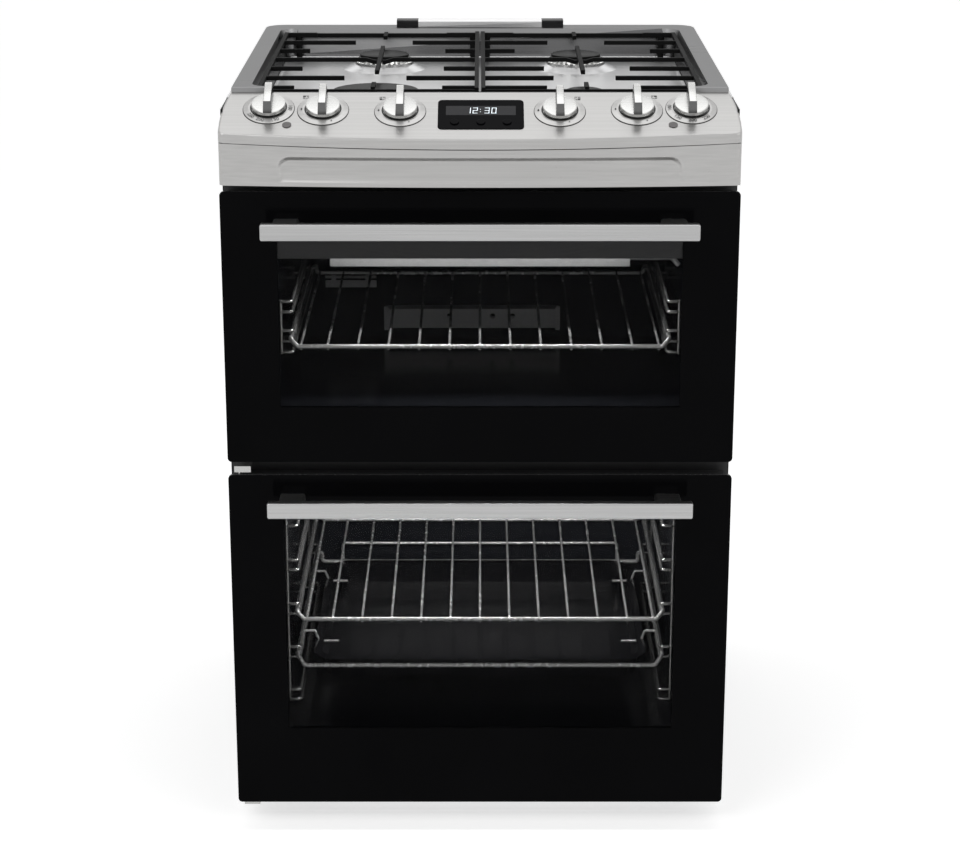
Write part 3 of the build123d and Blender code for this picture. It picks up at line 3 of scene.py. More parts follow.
import bmesh
import bpy
from mathutils import Matrix, Vector


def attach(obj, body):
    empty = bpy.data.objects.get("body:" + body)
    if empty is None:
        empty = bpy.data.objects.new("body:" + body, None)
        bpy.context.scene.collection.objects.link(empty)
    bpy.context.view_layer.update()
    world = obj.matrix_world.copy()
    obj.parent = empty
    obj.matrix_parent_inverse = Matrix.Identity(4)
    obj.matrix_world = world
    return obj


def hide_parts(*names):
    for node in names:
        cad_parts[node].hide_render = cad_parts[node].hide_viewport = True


# Everything is in metres, in the CAD part's own frame: +Z up, the front faces -Y.
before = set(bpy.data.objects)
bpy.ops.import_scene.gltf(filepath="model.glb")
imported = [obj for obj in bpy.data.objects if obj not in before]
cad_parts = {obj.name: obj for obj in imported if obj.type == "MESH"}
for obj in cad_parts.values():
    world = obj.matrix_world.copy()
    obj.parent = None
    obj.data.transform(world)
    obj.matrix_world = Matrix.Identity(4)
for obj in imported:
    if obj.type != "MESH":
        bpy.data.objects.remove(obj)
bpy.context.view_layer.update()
scene = bpy.context.scene

# Places that the CAD part's source also names
DEPTH_TO_Y = -0.2705
PANEL_FRONT_HEIGHT = 0.860
PANEL_RISE = 0.034
PANEL_DEPTH = 0.073
HALF_WIDTH = 0.298
WELL_FLOOR = 0.862
DOME_TOP = 0.868
PAN_REACH = 0.222
RIM_HEIGHT = 0.885
TRIM_END = 0.083
GRILL_LOW = 0.68
FASCIA_BOTTOM = 0.7995
FASCIA_TOP = 0.8478
FASCIA_BOW = 0.012
FASCIA_CORNER = 0.007
FASCIA_REAR = 0.040
SCOOP_HALF = 0.232
SCOOP_LOW = 0.8045
SCOOP_HIGH = 0.8345
SCOOP_CORNER = 0.016
SCOOP_DEPTH = 0.0052
WINDOW_HALF = 0.2335
UPPER_WINDOW = (0.5355, 0.742)
LOWER_WINDOW = (0.1255, 0.407)
KNOB_PLACES = (-0.2425, -0.180, -0.0915, 0.0915, 0.180, 0.2425)
BURNERS = {"rear_left": (-0.125, 0.453, 0.032), "rear_right": (0.125, 0.453, 0.032),
           "front_left": (-0.125, 0.169, 0.052), "front_right": (0.125, 0.169, 0.023)}

# Values of the visual pieces
WINDOW_CLEAR = 0.2
DOME_REACH = 0.075
WALL_SOFTNESS = 0.0065
DISC_RADIUS = 0.0195
DISC_LOW = 0.0036
DISC_TOP = 0.0088
HANDGRIP_TOP = 0.0232
RING_TOP = 0.00245
MARK_RADIUS = 0.0247
PRINT = 0.00003


def at(depth):
    return depth + DEPTH_TO_Y


# Materials

def link(tree, source, target):
    tree.links.new(source, target)


def either(tree, first, second):
    node = tree.nodes.new("ShaderNodeMath")
    node.operation = "MAXIMUM"
    link(tree, first, node.inputs[0])
    link(tree, second, node.inputs[1])
    return node.outputs[0]


def seen_directly(tree):
    """1 for rays from the camera, from metal and through glass, 0 for the rays that light the object."""
    path = tree.nodes.new("ShaderNodeLightPath")
    seen = either(tree, path.outputs["Is Camera Ray"], path.outputs["Is Glossy Ray"])
    return either(tree, seen, path.outputs["Is Transmission Ray"])


def object_noise(tree, stretch, scale, detail=3.0):
    """Noise fixed to the object, stretched along its axes."""
    coords = tree.nodes.new("ShaderNodeTexCoord")
    mapping = tree.nodes.new("ShaderNodeMapping")
    mapping.inputs["Scale"].default_value = stretch
    noise = tree.nodes.new("ShaderNodeTexNoise")
    noise.inputs["Scale"].default_value = scale
    noise.inputs["Detail"].default_value = detail
    link(tree, coords.outputs["Object"], mapping.inputs["Vector"])
    link(tree, mapping.outputs["Vector"], noise.inputs["Vector"])
    return noise.outputs["Fac"]


def spread(tree, value, low, high, first=0.3, last=0.7):
    """Maps a noise value onto a range."""
    node = tree.nodes.new("ShaderNodeMapRange")
    node.inputs["From Min"].default_value = first
    node.inputs["From Max"].default_value = last
    node.inputs["To Min"].default_value = low
    node.inputs["To Max"].default_value = high
    link(tree, value, node.inputs["Value"])
    return node.outputs["Result"]


def blend_colours(tree, fac, dark, light):
    ramp = tree.nodes.new("ShaderNodeValToRGB")
    ramp.color_ramp.elements[0].position = 0.3
    ramp.color_ramp.elements[0].color = (*dark, 1)
    ramp.color_ramp.elements[1].position = 0.7
    ramp.color_ramp.elements[1].color = (*light, 1)
    link(tree, fac, ramp.inputs["Fac"])
    return ramp.outputs["Color"]


def material(name, colour, rough=(0.3, 0.4), vary=0.06, stretch=(1, 1, 1), grain=40.0, relief=0.0,
             relief_depth=0.0002, **sockets):
    """Principled surface whose colour, roughness and relief follow a grain fixed to the object."""
    mat = bpy.data.materials.new(name)
    mat.use_nodes = True
    tree = mat.node_tree
    shader = tree.nodes["Principled BSDF"]
    for socket, value in sockets.items():
        shader.inputs[socket.replace("_", " ")].default_value = value
    fine = object_noise(tree, stretch, grain)
    cloud = object_noise(tree, (1, 1, 1), 7.0, 2.0)
    dark = [max(c * (1 - vary), 0) for c in colour]
    light = [min(c * (1 + vary), 1) for c in colour]
    link(tree, blend_colours(tree, fine, dark, light), shader.inputs["Base Color"])
    mix = tree.nodes.new("ShaderNodeMix")
    mix.inputs["Factor"].default_value = 0.35
    link(tree, fine, mix.inputs[2])
    link(tree, cloud, mix.inputs[3])
    link(tree, spread(tree, mix.outputs[0], *rough), shader.inputs["Roughness"])
    if relief:
        bump = tree.nodes.new("ShaderNodeBump")
        bump.inputs["Strength"].default_value = relief
        bump.inputs["Distance"].default_value = relief_depth
        link(tree, fine, bump.inputs["Height"])
        link(tree, bump.outputs["Normal"], shader.inputs["Normal"])
    return mat


def inside_box(tree, half_x, low_z, high_z, soft=0.0004):
    """1 inside an upright rectangle of the front, 0 outside it, from the object's own coordinates."""
    coords = tree.nodes.new("ShaderNodeTexCoord")
    split = tree.nodes.new("ShaderNodeSeparateXYZ")
    link(tree, coords.outputs["Object"], split.inputs[0])
    offsets = []
    for axis, middle, half in (("X", 0.0, half_x), ("Z", (low_z + high_z) / 2, (high_z - low_z) / 2)):
        shift = tree.nodes.new("ShaderNodeMath")
        shift.operation = "SUBTRACT"
        shift.inputs[1].default_value = middle
        link(tree, split.outputs[axis], shift.inputs[0])
        size = tree.nodes.new("ShaderNodeMath")
        size.operation = "ABSOLUTE"
        link(tree, shift.outputs[0], size.inputs[0])
        over = tree.nodes.new("ShaderNodeMath")
        over.operation = "SUBTRACT"
        over.inputs[1].default_value = half
        link(tree, size.outputs[0], over.inputs[0])
        offsets.append(over.outputs[0])
    return spread(tree, either(tree, *offsets), 1.0, 0.0, -soft, soft)


def door_glass(name, low_z, high_z):
    """Black printed glass with a clear window in it."""
    mat = material(name, (0.0035, 0.0035, 0.004), rough=(0.03, 0.06), vary=0.1, grain=12.0,
                   Specular_IOR_Level=0.02)
    tree = mat.node_tree
    shader = tree.nodes["Principled BSDF"]
    mask = inside_box(tree, WINDOW_HALF, low_z, high_z)
    link(tree, spread(tree, mask, 1.0, WINDOW_CLEAR, 0.0, 1.0), shader.inputs["Alpha"])
    return mat


def make_materials():
    steel = (0.44, 0.436, 0.43)
    along_x = (3, 420, 420)
    made = {
        "panel": material("panel", steel, (0.26, 0.36), 0.05, along_x, 1.0, 0.25, Metallic=1.0),
        "hob": material("hob", (0.56, 0.56, 0.563), (0.30, 0.38), 0.05, along_x, 1.0, 0.04, Metallic=1.0,
                        Specular_Tint=(0.9, 0.9, 0.9, 1)),
        # Darker copies of the hob's steel for its rim and the walls of its well: painted shade.
        "hob_rim_painted_shade": material("hob_rim_painted_shade", (0.27, 0.27, 0.272), (0.26, 0.34), 0.05, along_x, 1.0, 0.1,
                            Metallic=1.0, Specular_Tint=(0.5, 0.5, 0.5, 1)),
        "hob_wall_painted_shade": material("hob_wall_painted_shade", (0.13, 0.13, 0.132), (0.2, 0.28), 0.05, along_x, 1.0, 0.05,
                             Metallic=1.0, Specular_Tint=(0.6, 0.6, 0.6, 1)),
        "trim": material("trim", (0.7, 0.7, 0.7), (0.35, 0.45), 0.03, along_x, 1.0, 0.05, Metallic=1.0),
        "handle": material("handle", (0.44, 0.44, 0.44), (0.24, 0.38), 0.09, (6, 900, 900), 1.0, 0.35,
                           Metallic=1.0),
        "knob": material("knob", (0.60, 0.60, 0.59), (0.24, 0.3), 0.03, along_x, 1.0, 0.02, Metallic=1.0),
        # Dark copy of the knobs' steel for their sides: painted shade.
        "knob_side_painted_shade": material("knob_side_painted_shade", (0.13, 0.13, 0.13), (0.2, 0.3), 0.05, (12, 12, 700), 1.0, 0.1,
                              Metallic=1.0),
        "display": material("display", (0.035, 0.035, 0.038), (0.25, 0.35), 0.05, (1, 1, 1), 60.0,
                            Specular_IOR_Level=0.1),
        "casing": material("casing", (0.012, 0.012, 0.013), (0.38, 0.5), 0.15, (1, 1, 1), 900.0, 0.15,
                           Specular_IOR_Level=0.2),
        "frame_black": material("frame_black", (0.022, 0.022, 0.023), (0.3, 0.45), 0.15, (1, 1, 1), 700.0,
                                0.1),
        "enamel": material("enamel", (0.012, 0.013, 0.016), (0.1, 0.22), 0.3, (1, 1, 1), 1400.0, 0.05,
                           Specular_IOR_Level=0.2),
        "pan_enamel": material("pan_enamel", (0.006, 0.006, 0.007), (0.12, 0.25), 0.3, (1, 1, 1), 1400.0,
                               0.05, Specular_IOR_Level=0.15),
        "chrome": material("chrome", (0.68, 0.68, 0.67), (0.22, 0.3), 0.02, (1, 1, 1), 200.0, Metallic=0.65),
        "runner": material("runner", (0.5, 0.5, 0.49), (0.2, 0.28), 0.02, (1, 1, 1), 200.0, Metallic=0.85),
        "oven_metal": material("oven_metal", (0.8, 0.8, 0.8), (0.35, 0.45), 0.05, (1, 1, 1), 300.0, 0.05,
                               Metallic=0.2),
        # Darker copy of the oven metal for the grill's box: painted shade.
        "grill_metal_painted_shade": material("grill_metal_painted_shade", (0.35, 0.35, 0.35), (0.3, 0.4), 0.05, along_x, 1.0, 0.05,
                                Metallic=0.6),
        "iron": material("iron", (0.011, 0.011, 0.011), (0.5, 0.65), 0.2, (1, 1, 1), 1500.0, 0.4,
                         Specular_IOR_Level=0.02),
        "cap_enamel": material("cap_enamel", (0.008, 0.008, 0.008), (0.3, 0.42), 0.2, (1, 1, 1), 1200.0, 0.1,
                               Specular_IOR_Level=0.03),
        # Paler edge of the door glass: partly ground glass, partly a painted highlight.
        "glass_edge_and_painted_highlight": material("glass_edge_and_painted_highlight", (0.05, 0.05, 0.052), (0.2, 0.3), 0.1, (1, 1, 1), 300.0),
        "burner": material("burner", (0.45, 0.45, 0.45), (0.28, 0.42), 0.1, (1, 1, 1), 600.0, 0.2,
                           Metallic=1.0),
        "crown": material("crown", (0.72, 0.72, 0.71), (0.16, 0.24), 0.05, (1, 1, 1), 600.0, 0.05,
                          Metallic=1.0),
        "galvanised": material("galvanised", (0.5, 0.51, 0.52), (0.35, 0.55), 0.15, (1, 1, 1), 60.0, 0.05,
                               Metallic=0.8),
        "brass": material("brass", (0.6, 0.45, 0.2), (0.25, 0.4), 0.08, (1, 1, 1), 300.0, Metallic=1.0),
        "rubber": material("rubber", (0.012, 0.012, 0.012), (0.6, 0.75), 0.2, (1, 1, 1), 900.0, 0.2),
        "wool": material("wool", (0.55, 0.5, 0.32), (0.85, 0.95), 0.2, (1, 1, 1), 500.0, 0.8, 0.001),
        "ceramic": material("ceramic", (0.72, 0.7, 0.66), (0.2, 0.3), 0.04, (1, 1, 1), 400.0),
        "black_plastic": material("black_plastic", (0.012, 0.012, 0.013), (0.32, 0.44), 0.1, (1, 1, 1),
                                  1200.0, 0.1),
        "clock_black": material("clock_black", (0.004, 0.004, 0.005), (0.05, 0.09), 0.1, (1, 1, 1), 30.0,
                                Specular_IOR_Level=0.02),
        "smoke": material("smoke", (0.12, 0.11, 0.11), (0.15, 0.25), 0.1, (1, 1, 1), 300.0),
        # Black for the printed marks, and for the painted shade rings round the knobs.
        "ink_and_painted_shade": material("ink_and_painted_shade", (0.02, 0.02, 0.02), (0.4, 0.5), 0.05, (1, 1, 1), 500.0),
        "lamp_glass": material("lamp_glass", (0.8, 0.8, 0.78), (0.1, 0.2), 0.02, (1, 1, 1), 90.0, 0.2),
        "upper_glass": door_glass("upper_glass", *UPPER_WINDOW),
        "lower_glass": door_glass("lower_glass", *LOWER_WINDOW),
        "inner_glass": material("inner_glass", (0.02, 0.02, 0.02), (0.03, 0.06), 0.05, (1, 1, 1), 12.0,
                                Alpha=0.1, Specular_IOR_Level=0.2),
    }
    digits = material("digits", (0.8, 0.86, 0.9), (0.4, 0.5), 0.02, (1, 1, 1), 200.0, Emission_Strength=0.8)
    digits.node_tree.nodes["Principled BSDF"].inputs["Emission Color"].default_value = (0.82, 0.9, 0.95, 1)
    made["digits"] = digits
    return made


MATERIALS = make_materials()

NODE_MATERIALS = {
    "side_panels": "casing", "back_panel": "galvanised", "base_tray": "galvanised",
    "front_frame": "frame_black", "mid_rail": "casing", "hinge_brackets": "runner", "hob_tray": "hob",
    "control_panel": "panel",
    "fascia": "panel", "flue_trim": "trim", "clock_glass": "clock_black", "clock_module": "black_plastic",
    "clock_button_1": "clock_black", "clock_button_2": "clock_black", "clock_button_3": "clock_black",
    "indicator_lamps": "smoke", "knob_bezels": "panel", "gas_taps": "brass", "gas_rail": "galvanised",
    "upper_oven_liner": "enamel", "lower_oven_liner": "enamel", "oven_insulation": "wool",
    "upper_door_glass": "upper_glass", "upper_door_frame": "frame_black", "upper_inner_glass": "inner_glass",
    "upper_door_handle": "handle", "lower_door_glass": "lower_glass", "lower_door_frame": "frame_black",
    "lower_inner_glass": "inner_glass", "lower_door_handle": "handle", "oven_seals": "rubber",
    "upper_shelf": "chrome", "lower_shelf": "chrome", "roasting_pan": "pan_enamel", "shelf_runners": "runner",
    "pan_support_left": "iron", "pan_support_right": "iron", "burner_bases": "burner",
    "burner_crowns": "burner", "ignition_electrodes": "ceramic", "oven_burners": "oven_metal",
    "oven_lamp": "lamp_glass", "feet": "black_plastic", "fasteners": "chrome",
}


def dress_nodes():
    """Gives every CAD node its material, and smooth shading with crisp edges."""
    for name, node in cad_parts.items():
        if name.startswith("knob_") and name != "knob_bezels":
            finish = "knob"
        elif name.startswith("tap_plunger"):
            finish = "chrome"
        elif name.startswith("burner_cap"):
            finish = "cap_enamel"
        else:
            finish = NODE_MATERIALS[name]
        node.data.materials.clear()
        node.data.materials.append(MATERIALS[finish])
        node.data.shade_smooth()
        node.data.set_sharp_from_angle(angle=math.radians(28))


def dress_hob():
    """The hob's raised rim and the walls of its well get darker copies of the steel of the well's bright
    floor: painted shade on one pressed sheet.
    """
    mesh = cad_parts["hob_tray"].data
    mesh.materials.append(MATERIALS["hob_rim_painted_shade"])
    mesh.materials.append(MATERIALS["hob_wall_painted_shade"])
    for face in mesh.polygons:
        if face.center.z > RIM_HEIGHT:
            face.material_index = 1
        elif face.center.z > WELL_FLOOR + 0.002 and abs(face.normal.z) < 0.8 and not near_burner(face.center):
            face.material_index = 2


def near_burner(place):
    return any(math.hypot(place.x - x, place.y - at(depth)) < DOME_REACH for x, depth, _ in BURNERS.values())


def flue_trim():
    """The trim round the flue slot is bright, and its two ends are black."""
    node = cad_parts["flue_trim"]
    bm = bmesh.new()
    bm.from_mesh(node.data)
    bm.transform(node.matrix_world)
    for side in (-1, 1):
        bmesh.ops.bisect_plane(bm, geom=bm.verts[:] + bm.edges[:] + bm.faces[:],
                               plane_co=(side * TRIM_END, 0, 0), plane_no=(side, 0, 0))
    for face in bm.faces:
        face.material_index = 1 if abs(face.calc_center_median().x) > TRIM_END else 0
    add_piece("flue_trim_finished", bm, "trim", "cooker", ("flue_trim",), "casing")


def dress_door_edges():
    """The ground edges of the doors' glass are paler than its printed face, partly as ground glass and partly
    as a painted highlight along the doors' edges.
    """
    for name in ("upper_door_glass", "lower_door_glass"):
        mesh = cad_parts[name].data
        mesh.materials.append(MATERIALS["glass_edge_and_painted_highlight"])
        for face in mesh.polygons:
            if abs(face.normal.y) < 0.3:
                face.material_index = 1


def dress_oven_metal():
    """The grill's box gets a darker copy of the oven metal than the burners' covers below it: painted shade
    on the box beside the oven lamp.
    """
    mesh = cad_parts["oven_burners"].data
    mesh.materials.append(MATERIALS["grill_metal_painted_shade"])
    for face in mesh.polygons:
        if face.center.z > GRILL_LOW:
            face.material_index = 1


def dress_pan():
    """The roasting pan's wire cradle is chromed; the pan itself stays black."""
    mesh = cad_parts["roasting_pan"].data
    mesh.materials.append(MATERIALS["chrome"])
    spots = [tuple(round(c, 6) for c in vert.co) for vert in mesh.vertices]
    leader = {}

    def find(spot):
        while leader.setdefault(spot, spot) != spot:
            leader[spot] = leader[leader[spot]]
            spot = leader[spot]
        return spot

    for face in mesh.polygons:
        first = find(spots[face.vertices[0]])
        for vert in face.vertices[1:]:
            leader[find(spots[vert])] = first
    reach = {}
    for spot in set(spots):
        group = find(spot)
        reach[group] = max(reach.get(group, 0.0), abs(spot[0]))
    for face in mesh.polygons:
        face.material_index = 1 if reach[find(spots[face.vertices[0]])] > PAN_REACH else 0


# Mesh helpers

def add_piece(name, bm, finish, body, replaced=(), second=None):
    """Turns a bmesh into a piece that rides on a body. Faces marked 1 get the second finish."""
    bmesh.ops.remove_doubles(bm, verts=bm.verts, dist=1e-7)
    bmesh.ops.recalc_face_normals(bm, faces=bm.faces)
    mesh = bpy.data.meshes.new(name)
    bm.to_mesh(mesh)
    bm.free()
    mesh.shade_smooth()
    mesh.set_sharp_from_angle(angle=math.radians(32))
    mesh.materials.append(MATERIALS[finish])
    if second:
        mesh.materials.append(MATERIALS[second])
    piece = bpy.data.objects.new(name, mesh)
    scene.collection.objects.link(piece)
    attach(piece, body)
    if replaced:
        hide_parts(*replaced)


def panel_frame(x, depth, rise=0.0):
    """Matrix whose Z points straight out of the control panel at a place on it."""
    slope = math.atan2(PANEL_RISE, PANEL_DEPTH)
    out = Vector((0, -math.sin(slope), math.cos(slope)))
    right = Vector((1, 0, 0))
    up = out.cross(right)
    height = PANEL_FRONT_HEIGHT + PANEL_RISE / PANEL_DEPTH * depth
    origin = Vector((x, at(depth), height)) + out * rise
    return Matrix(((right.x, up.x, out.x, origin.x), (right.y, up.y, out.y, origin.y),
                   (right.z, up.z, out.z, origin.z), (0, 0, 0, 1)))


def knob_depth(x):
    return 0.0455 - 0.0084 * (1 - (x / HALF_WIDTH) ** 2)


def lathe(bm, profile, place, segments=96):
    """Turns a profile of (radius, height) about the Z axis of a matrix."""
    rings = []
    for radius, height in profile:
        if radius < 1e-6:
            rings.append([bm.verts.new(place @ Vector((0, 0, height)))])
            continue
        ring = []
        for i in range(segments):
            turn = 2 * math.pi * i / segments
            spot = Vector((radius * math.cos(turn), radius * math.sin(turn), height))
            ring.append(bm.verts.new(place @ spot))
        rings.append(ring)
    for low, high in zip(rings, rings[1:]):
        for i in range(segments):
            j = (i + 1) % segments
            corners = [low[i % len(low)], low[j % len(low)], high[j % len(high)], high[i % len(high)]]
            unique = list(dict.fromkeys(corners))
            if len(unique) > 2:
                bm.faces.new(unique)


def rounded_edge(radius, height, bend, steps=5):
    """Profile points of a quarter round between a side wall and a top face."""
    points = []
    for i in range(steps + 1):
        turn = math.pi / 2 * i / steps
        points.append((radius - bend + bend * math.cos(turn), height - bend + bend * math.sin(turn)))
    return points


def slab(bm, place, corners_low, corners_high, bevel=0.0):
    """Six-sided solid from two loops of four corners, with bevelled edges."""
    low = [bm.verts.new(place @ Vector(c)) for c in corners_low]
    high = [bm.verts.new(place @ Vector(c)) for c in corners_high]
    faces = [bm.faces.new(low[::-1]), bm.faces.new(high)]
    for i in range(4):
        j = (i + 1) % 4
        faces.append(bm.faces.new([low[i], low[j], high[j], high[i]]))
    if bevel:
        edges = list(dict.fromkeys(e for f in faces for e in f.edges))
        bmesh.ops.bevel(bm, geom=edges, offset=bevel, segments=2, affect="EDGES", profile=0.5)


def box_corners(x0, x1, y0, y1, z):
    return [(x0, y0, z), (x1, y0, z), (x1, y1, z), (x0, y1, z)]


def print_bar(bm, place, *sides):
    """Flat upright bar of a print's thickness, from its sides x0, x1, y0, y1."""
    slab(bm, place, box_corners(*sides, 0), box_corners(*sides, PRINT))


# Fascia

def fascia_path():
    """Plan line of the fascia's outer face, as (x, depth, inward x, inward depth), from left to right."""
    half, corner = HALF_WIDTH, FASCIA_CORNER
    left = [(-half, FASCIA_REAR - (FASCIA_REAR - corner) * i / 6, 1.0, 0.0) for i in range(6)]
    for i in range(9):
        turn = math.pi / 2 * i / 8
        left.append((-half + corner * (1 - math.cos(turn)), corner * (1 - math.sin(turn)),
                     math.cos(turn), math.sin(turn)))
    bend = half - corner
    steps = 260
    middle = []
    for i in range(1, steps):
        x = -bend + 2 * bend * i / steps
        middle.append((x, -FASCIA_BOW * (1 - (x / bend) ** 2), 0.0, 1.0))
    return left + middle + [(-x, d, -nx, nd) for x, d, nx, nd in reversed(left)]


def scoop(x, z):
    """How far the pressed scoop lies behind the fascia's face."""
    corner = SCOOP_CORNER
    side = SCOOP_HALF - abs(x)
    head = SCOOP_HIGH - z
    if side < corner and head < corner:
        edge = corner - math.hypot(corner - side, corner - head)
    else:
        edge = min(side, head)
    edge = min(max(edge / WALL_SOFTNESS, 0.0), 1.0)
    soft = edge * edge * (3 - 2 * edge)
    slope = min(max((z - SCOOP_LOW) / (SCOOP_HIGH - SCOOP_LOW), 0.0), 1.0)
    return SCOOP_DEPTH * soft * slope ** 0.5


def fascia():
    """Bowed strip under the control panel, with a soft pressed scoop and a flange behind its top edge."""
    bm = bmesh.new()
    rows = 60
    sheet, flange = 0.0012, 0.013
    columns = []
    for x, depth, inward_x, inward_depth in fascia_path():
        top = FASCIA_TOP + PANEL_RISE / PANEL_DEPTH * min(depth, 0)
        outer, inner = [], []
        for row in range(rows + 1):
            z = FASCIA_BOTTOM + (top - FASCIA_BOTTOM) * row / rows
            sink = scoop(x, z)
            outer.append(bm.verts.new((x + inward_x * sink, at(depth + inward_depth * sink), z)))
            back = sink + sheet
            inner.append(bm.verts.new((x + inward_x * back, at(depth + inward_depth * back),
                                       min(z, top - sheet))))
        outer.append(bm.verts.new((x + inward_x * flange, at(depth + inward_depth * flange), top)))
        inner.append(bm.verts.new((x + inward_x * flange, at(depth + inward_depth * flange), top - sheet)))
        columns.append(outer + inner[::-1])
    for left, right in zip(columns, columns[1:]):
        count = len(left)
        for i in range(count):
            j = (i + 1) % count
            bm.faces.new([left[i], right[i], right[j], left[j]])
    bm.faces.new(columns[0])
    bm.faces.new(columns[-1][::-1])
    add_piece("fascia_pressed", bm, "panel", "cooker", ("fascia",))


# Knobs

def knobs():
    """Turned discs with a raised blade, bevelled all round."""
    for number, x in enumerate(KNOB_PLACES, start=1):
        place = panel_frame(x, knob_depth(x))
        bm = bmesh.new()
        low, top = DISC_LOW, DISC_TOP
        profile = [(0, low), (0.0188, low), (DISC_RADIUS, low + 0.0007)]
        profile += rounded_edge(DISC_RADIUS, top, 0.0011)
        profile += [(0.0150, top + 0.0003), (0, top + 0.0005)]
        lathe(bm, profile, place)
        # The stem comes before the blade: built after its bevel, its faces' order varied between runs
        lathe(bm, [(0, -0.0264), (0.004, -0.0264), (0.004, low + 0.001), (0, low + 0.001)], place, 32)
        foot = box_corners(-0.005, 0.005, -0.021, 0.021, top - 0.0006)
        head = box_corners(-0.0042, 0.0042, -0.0172, 0.0208, HANDGRIP_TOP)
        slab(bm, place, foot, head, 0.0007)
        # Faces that don't face straight out, except the disc's rounded rim, take the dark copy of the steel:
        # painted shade on the knobs' sides.
        outward = place.col[2].to_3d()
        back = place.inverted()
        for face in bm.faces:
            face.normal_update()
            spot = back @ face.calc_center_median()
            on_disc = math.hypot(spot.x, spot.y) > 0.0175 and 0.0056 < spot.z < 0.0095
            face.material_index = 0 if abs(face.normal.dot(outward)) > 0.6 or on_disc else 1
        add_piece(f"knob_{number}_body", bm, "knob", f"turn_{number}", (f"knob_{number}",),
                  "knob_side_painted_shade")


# Burners

def crown_ring(bm, place, radius, ports):
    """Crown with flame ports: a flared foot, a toothed wall and a top deck under the cap."""
    steps = ports * 6
    flare = radius + 0.006
    levels = [(flare, DOME_TOP), (flare - 0.0003, DOME_TOP + 0.0034), (flare - 0.0022, DOME_TOP + 0.0042),
              (radius + 0.0030, DOME_TOP + 0.0074), (radius + 0.0020, DOME_TOP + 0.0080)]
    rings = []
    for level, (ring_radius, height) in enumerate(levels):
        ring = []
        for i in range(steps):
            turn = 2 * math.pi * i / steps
            in_port = i % 6 in (0, 1) and level in (2, 3)
            r = ring_radius - (0.0035 if in_port else 0.0)
            ring.append(bm.verts.new(place @ Vector((r * math.cos(turn), r * math.sin(turn), height))))
        rings.append(ring)
    for low, high in zip(rings, rings[1:]):
        for i in range(steps):
            j = (i + 1) % steps
            bm.faces.new([low[i], low[j], high[j], high[i]])
    bm.faces.new(rings[0][::-1])
    bm.faces.new(rings[-1])


def burners():
    """Crowns with ports, and rounded caps."""
    crowns = bmesh.new()
    for name, (x, depth, radius) in BURNERS.items():
        place = Matrix.Translation((x, at(depth), 0))
        crown_ring(crowns, place, radius, max(16, int(radius * 1000)))
        foot, deck = DOME_TOP - 0.009, DOME_TOP + 0.001
        lathe(crowns, [(0, foot), (radius * 0.6, foot), (radius * 0.6, deck), (0, deck)], place, 48)
        cap = bmesh.new()
        low = DOME_TOP + 0.0083
        top = low + 0.0060
        profile = [(0, low), (radius - 0.0008, low), (radius, low + 0.0008), (radius, low + 0.0026)]
        profile += rounded_edge(radius, low + 0.0046, 0.0018)
        profile += [(radius * 0.8, top - 0.0004), (radius * 0.55, top), (0, top)]
        lathe(cap, profile, place)
        add_piece(f"cap_{name}_top", cap, "cap_enamel", f"cap_{name}",
                  (f"burner_cap_{name}",))
    add_piece("crowns_ported", crowns, "crown", "cooker", ("burner_crowns",))


# Clock display, printed marks and painted shade rings round the knobs

SEGMENTS = {"0": "abcdef", "1": "bc", "2": "abged", "3": "abgcd"}


def clock_display():
    """Four lit digits and a colon just above the clock's glass."""
    tall, wide, stroke, lean = 0.0112, 0.0056, 0.0009, 0.06
    band = bmesh.new()
    print_bar(band, panel_frame(0.001, 0.0378, 0.00081), -0.040, 0.040, -0.0075, 0.0105)
    add_piece("clock_band", band, "display", "cooker")
    bm = bmesh.new()
    place = panel_frame(0.001, 0.0340, 0.00086)

    def bar(x0, y0, x1, y1):
        low, high = [[(x0 + lean * y0, y0, z), (x1 + lean * y0, y0, z), (x1 + lean * y1, y1, z),
                      (x0 + lean * y1, y1, z)] for z in (0, 0.00004)]
        slab(bm, place, low, high)

    pitch = 0.0079
    left = -0.0175
    for index, digit in enumerate("12:30"):
        x = left + pitch * index - (0.0022 if index > 2 else 0.0)
        if digit == ":":
            for y in (tall * 0.3, tall * 0.7):
                bar(x + 0.0004, y - stroke / 2, x + 0.0004 + stroke, y + stroke / 2)
            continue
        half, right = tall / 2, x + wide
        shapes = {"a": (x, tall - stroke, right, tall), "g": (x, half - stroke / 2, right, half + stroke / 2),
                  "d": (x, 0, right, stroke), "f": (x, half, x + stroke, tall), "e": (x, 0, x + stroke, half),
                  "b": (right - stroke, half, right, tall), "c": (right - stroke, 0, right, half)}
        for part in SEGMENTS[digit]:
            bar(*shapes[part])
    add_piece("clock_digits", bm, "digits", "cooker")


def mark_text(name, text, place, size):
    """A short printed mark, as thin flat geometry lying on a surface."""
    curve = bpy.data.curves.new(name, "FONT")
    curve.body = text
    curve.size = size
    curve.align_x = "CENTER"
    curve.align_y = "CENTER"
    curve.extrude = 0.00002
    source = bpy.data.objects.new(name + "_curve", curve)
    scene.collection.objects.link(source)
    bpy.context.view_layer.update()
    mesh = bpy.data.meshes.new_from_object(source.evaluated_get(bpy.context.evaluated_depsgraph_get()))
    bpy.data.objects.remove(source)
    mesh.transform(place)
    mesh.materials.clear()
    mesh.materials.append(MATERIALS["ink_and_painted_shade"])
    mesh.name = name
    piece = bpy.data.objects.new(name, mesh)
    scene.collection.objects.link(piece)
    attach(piece, "cooker")


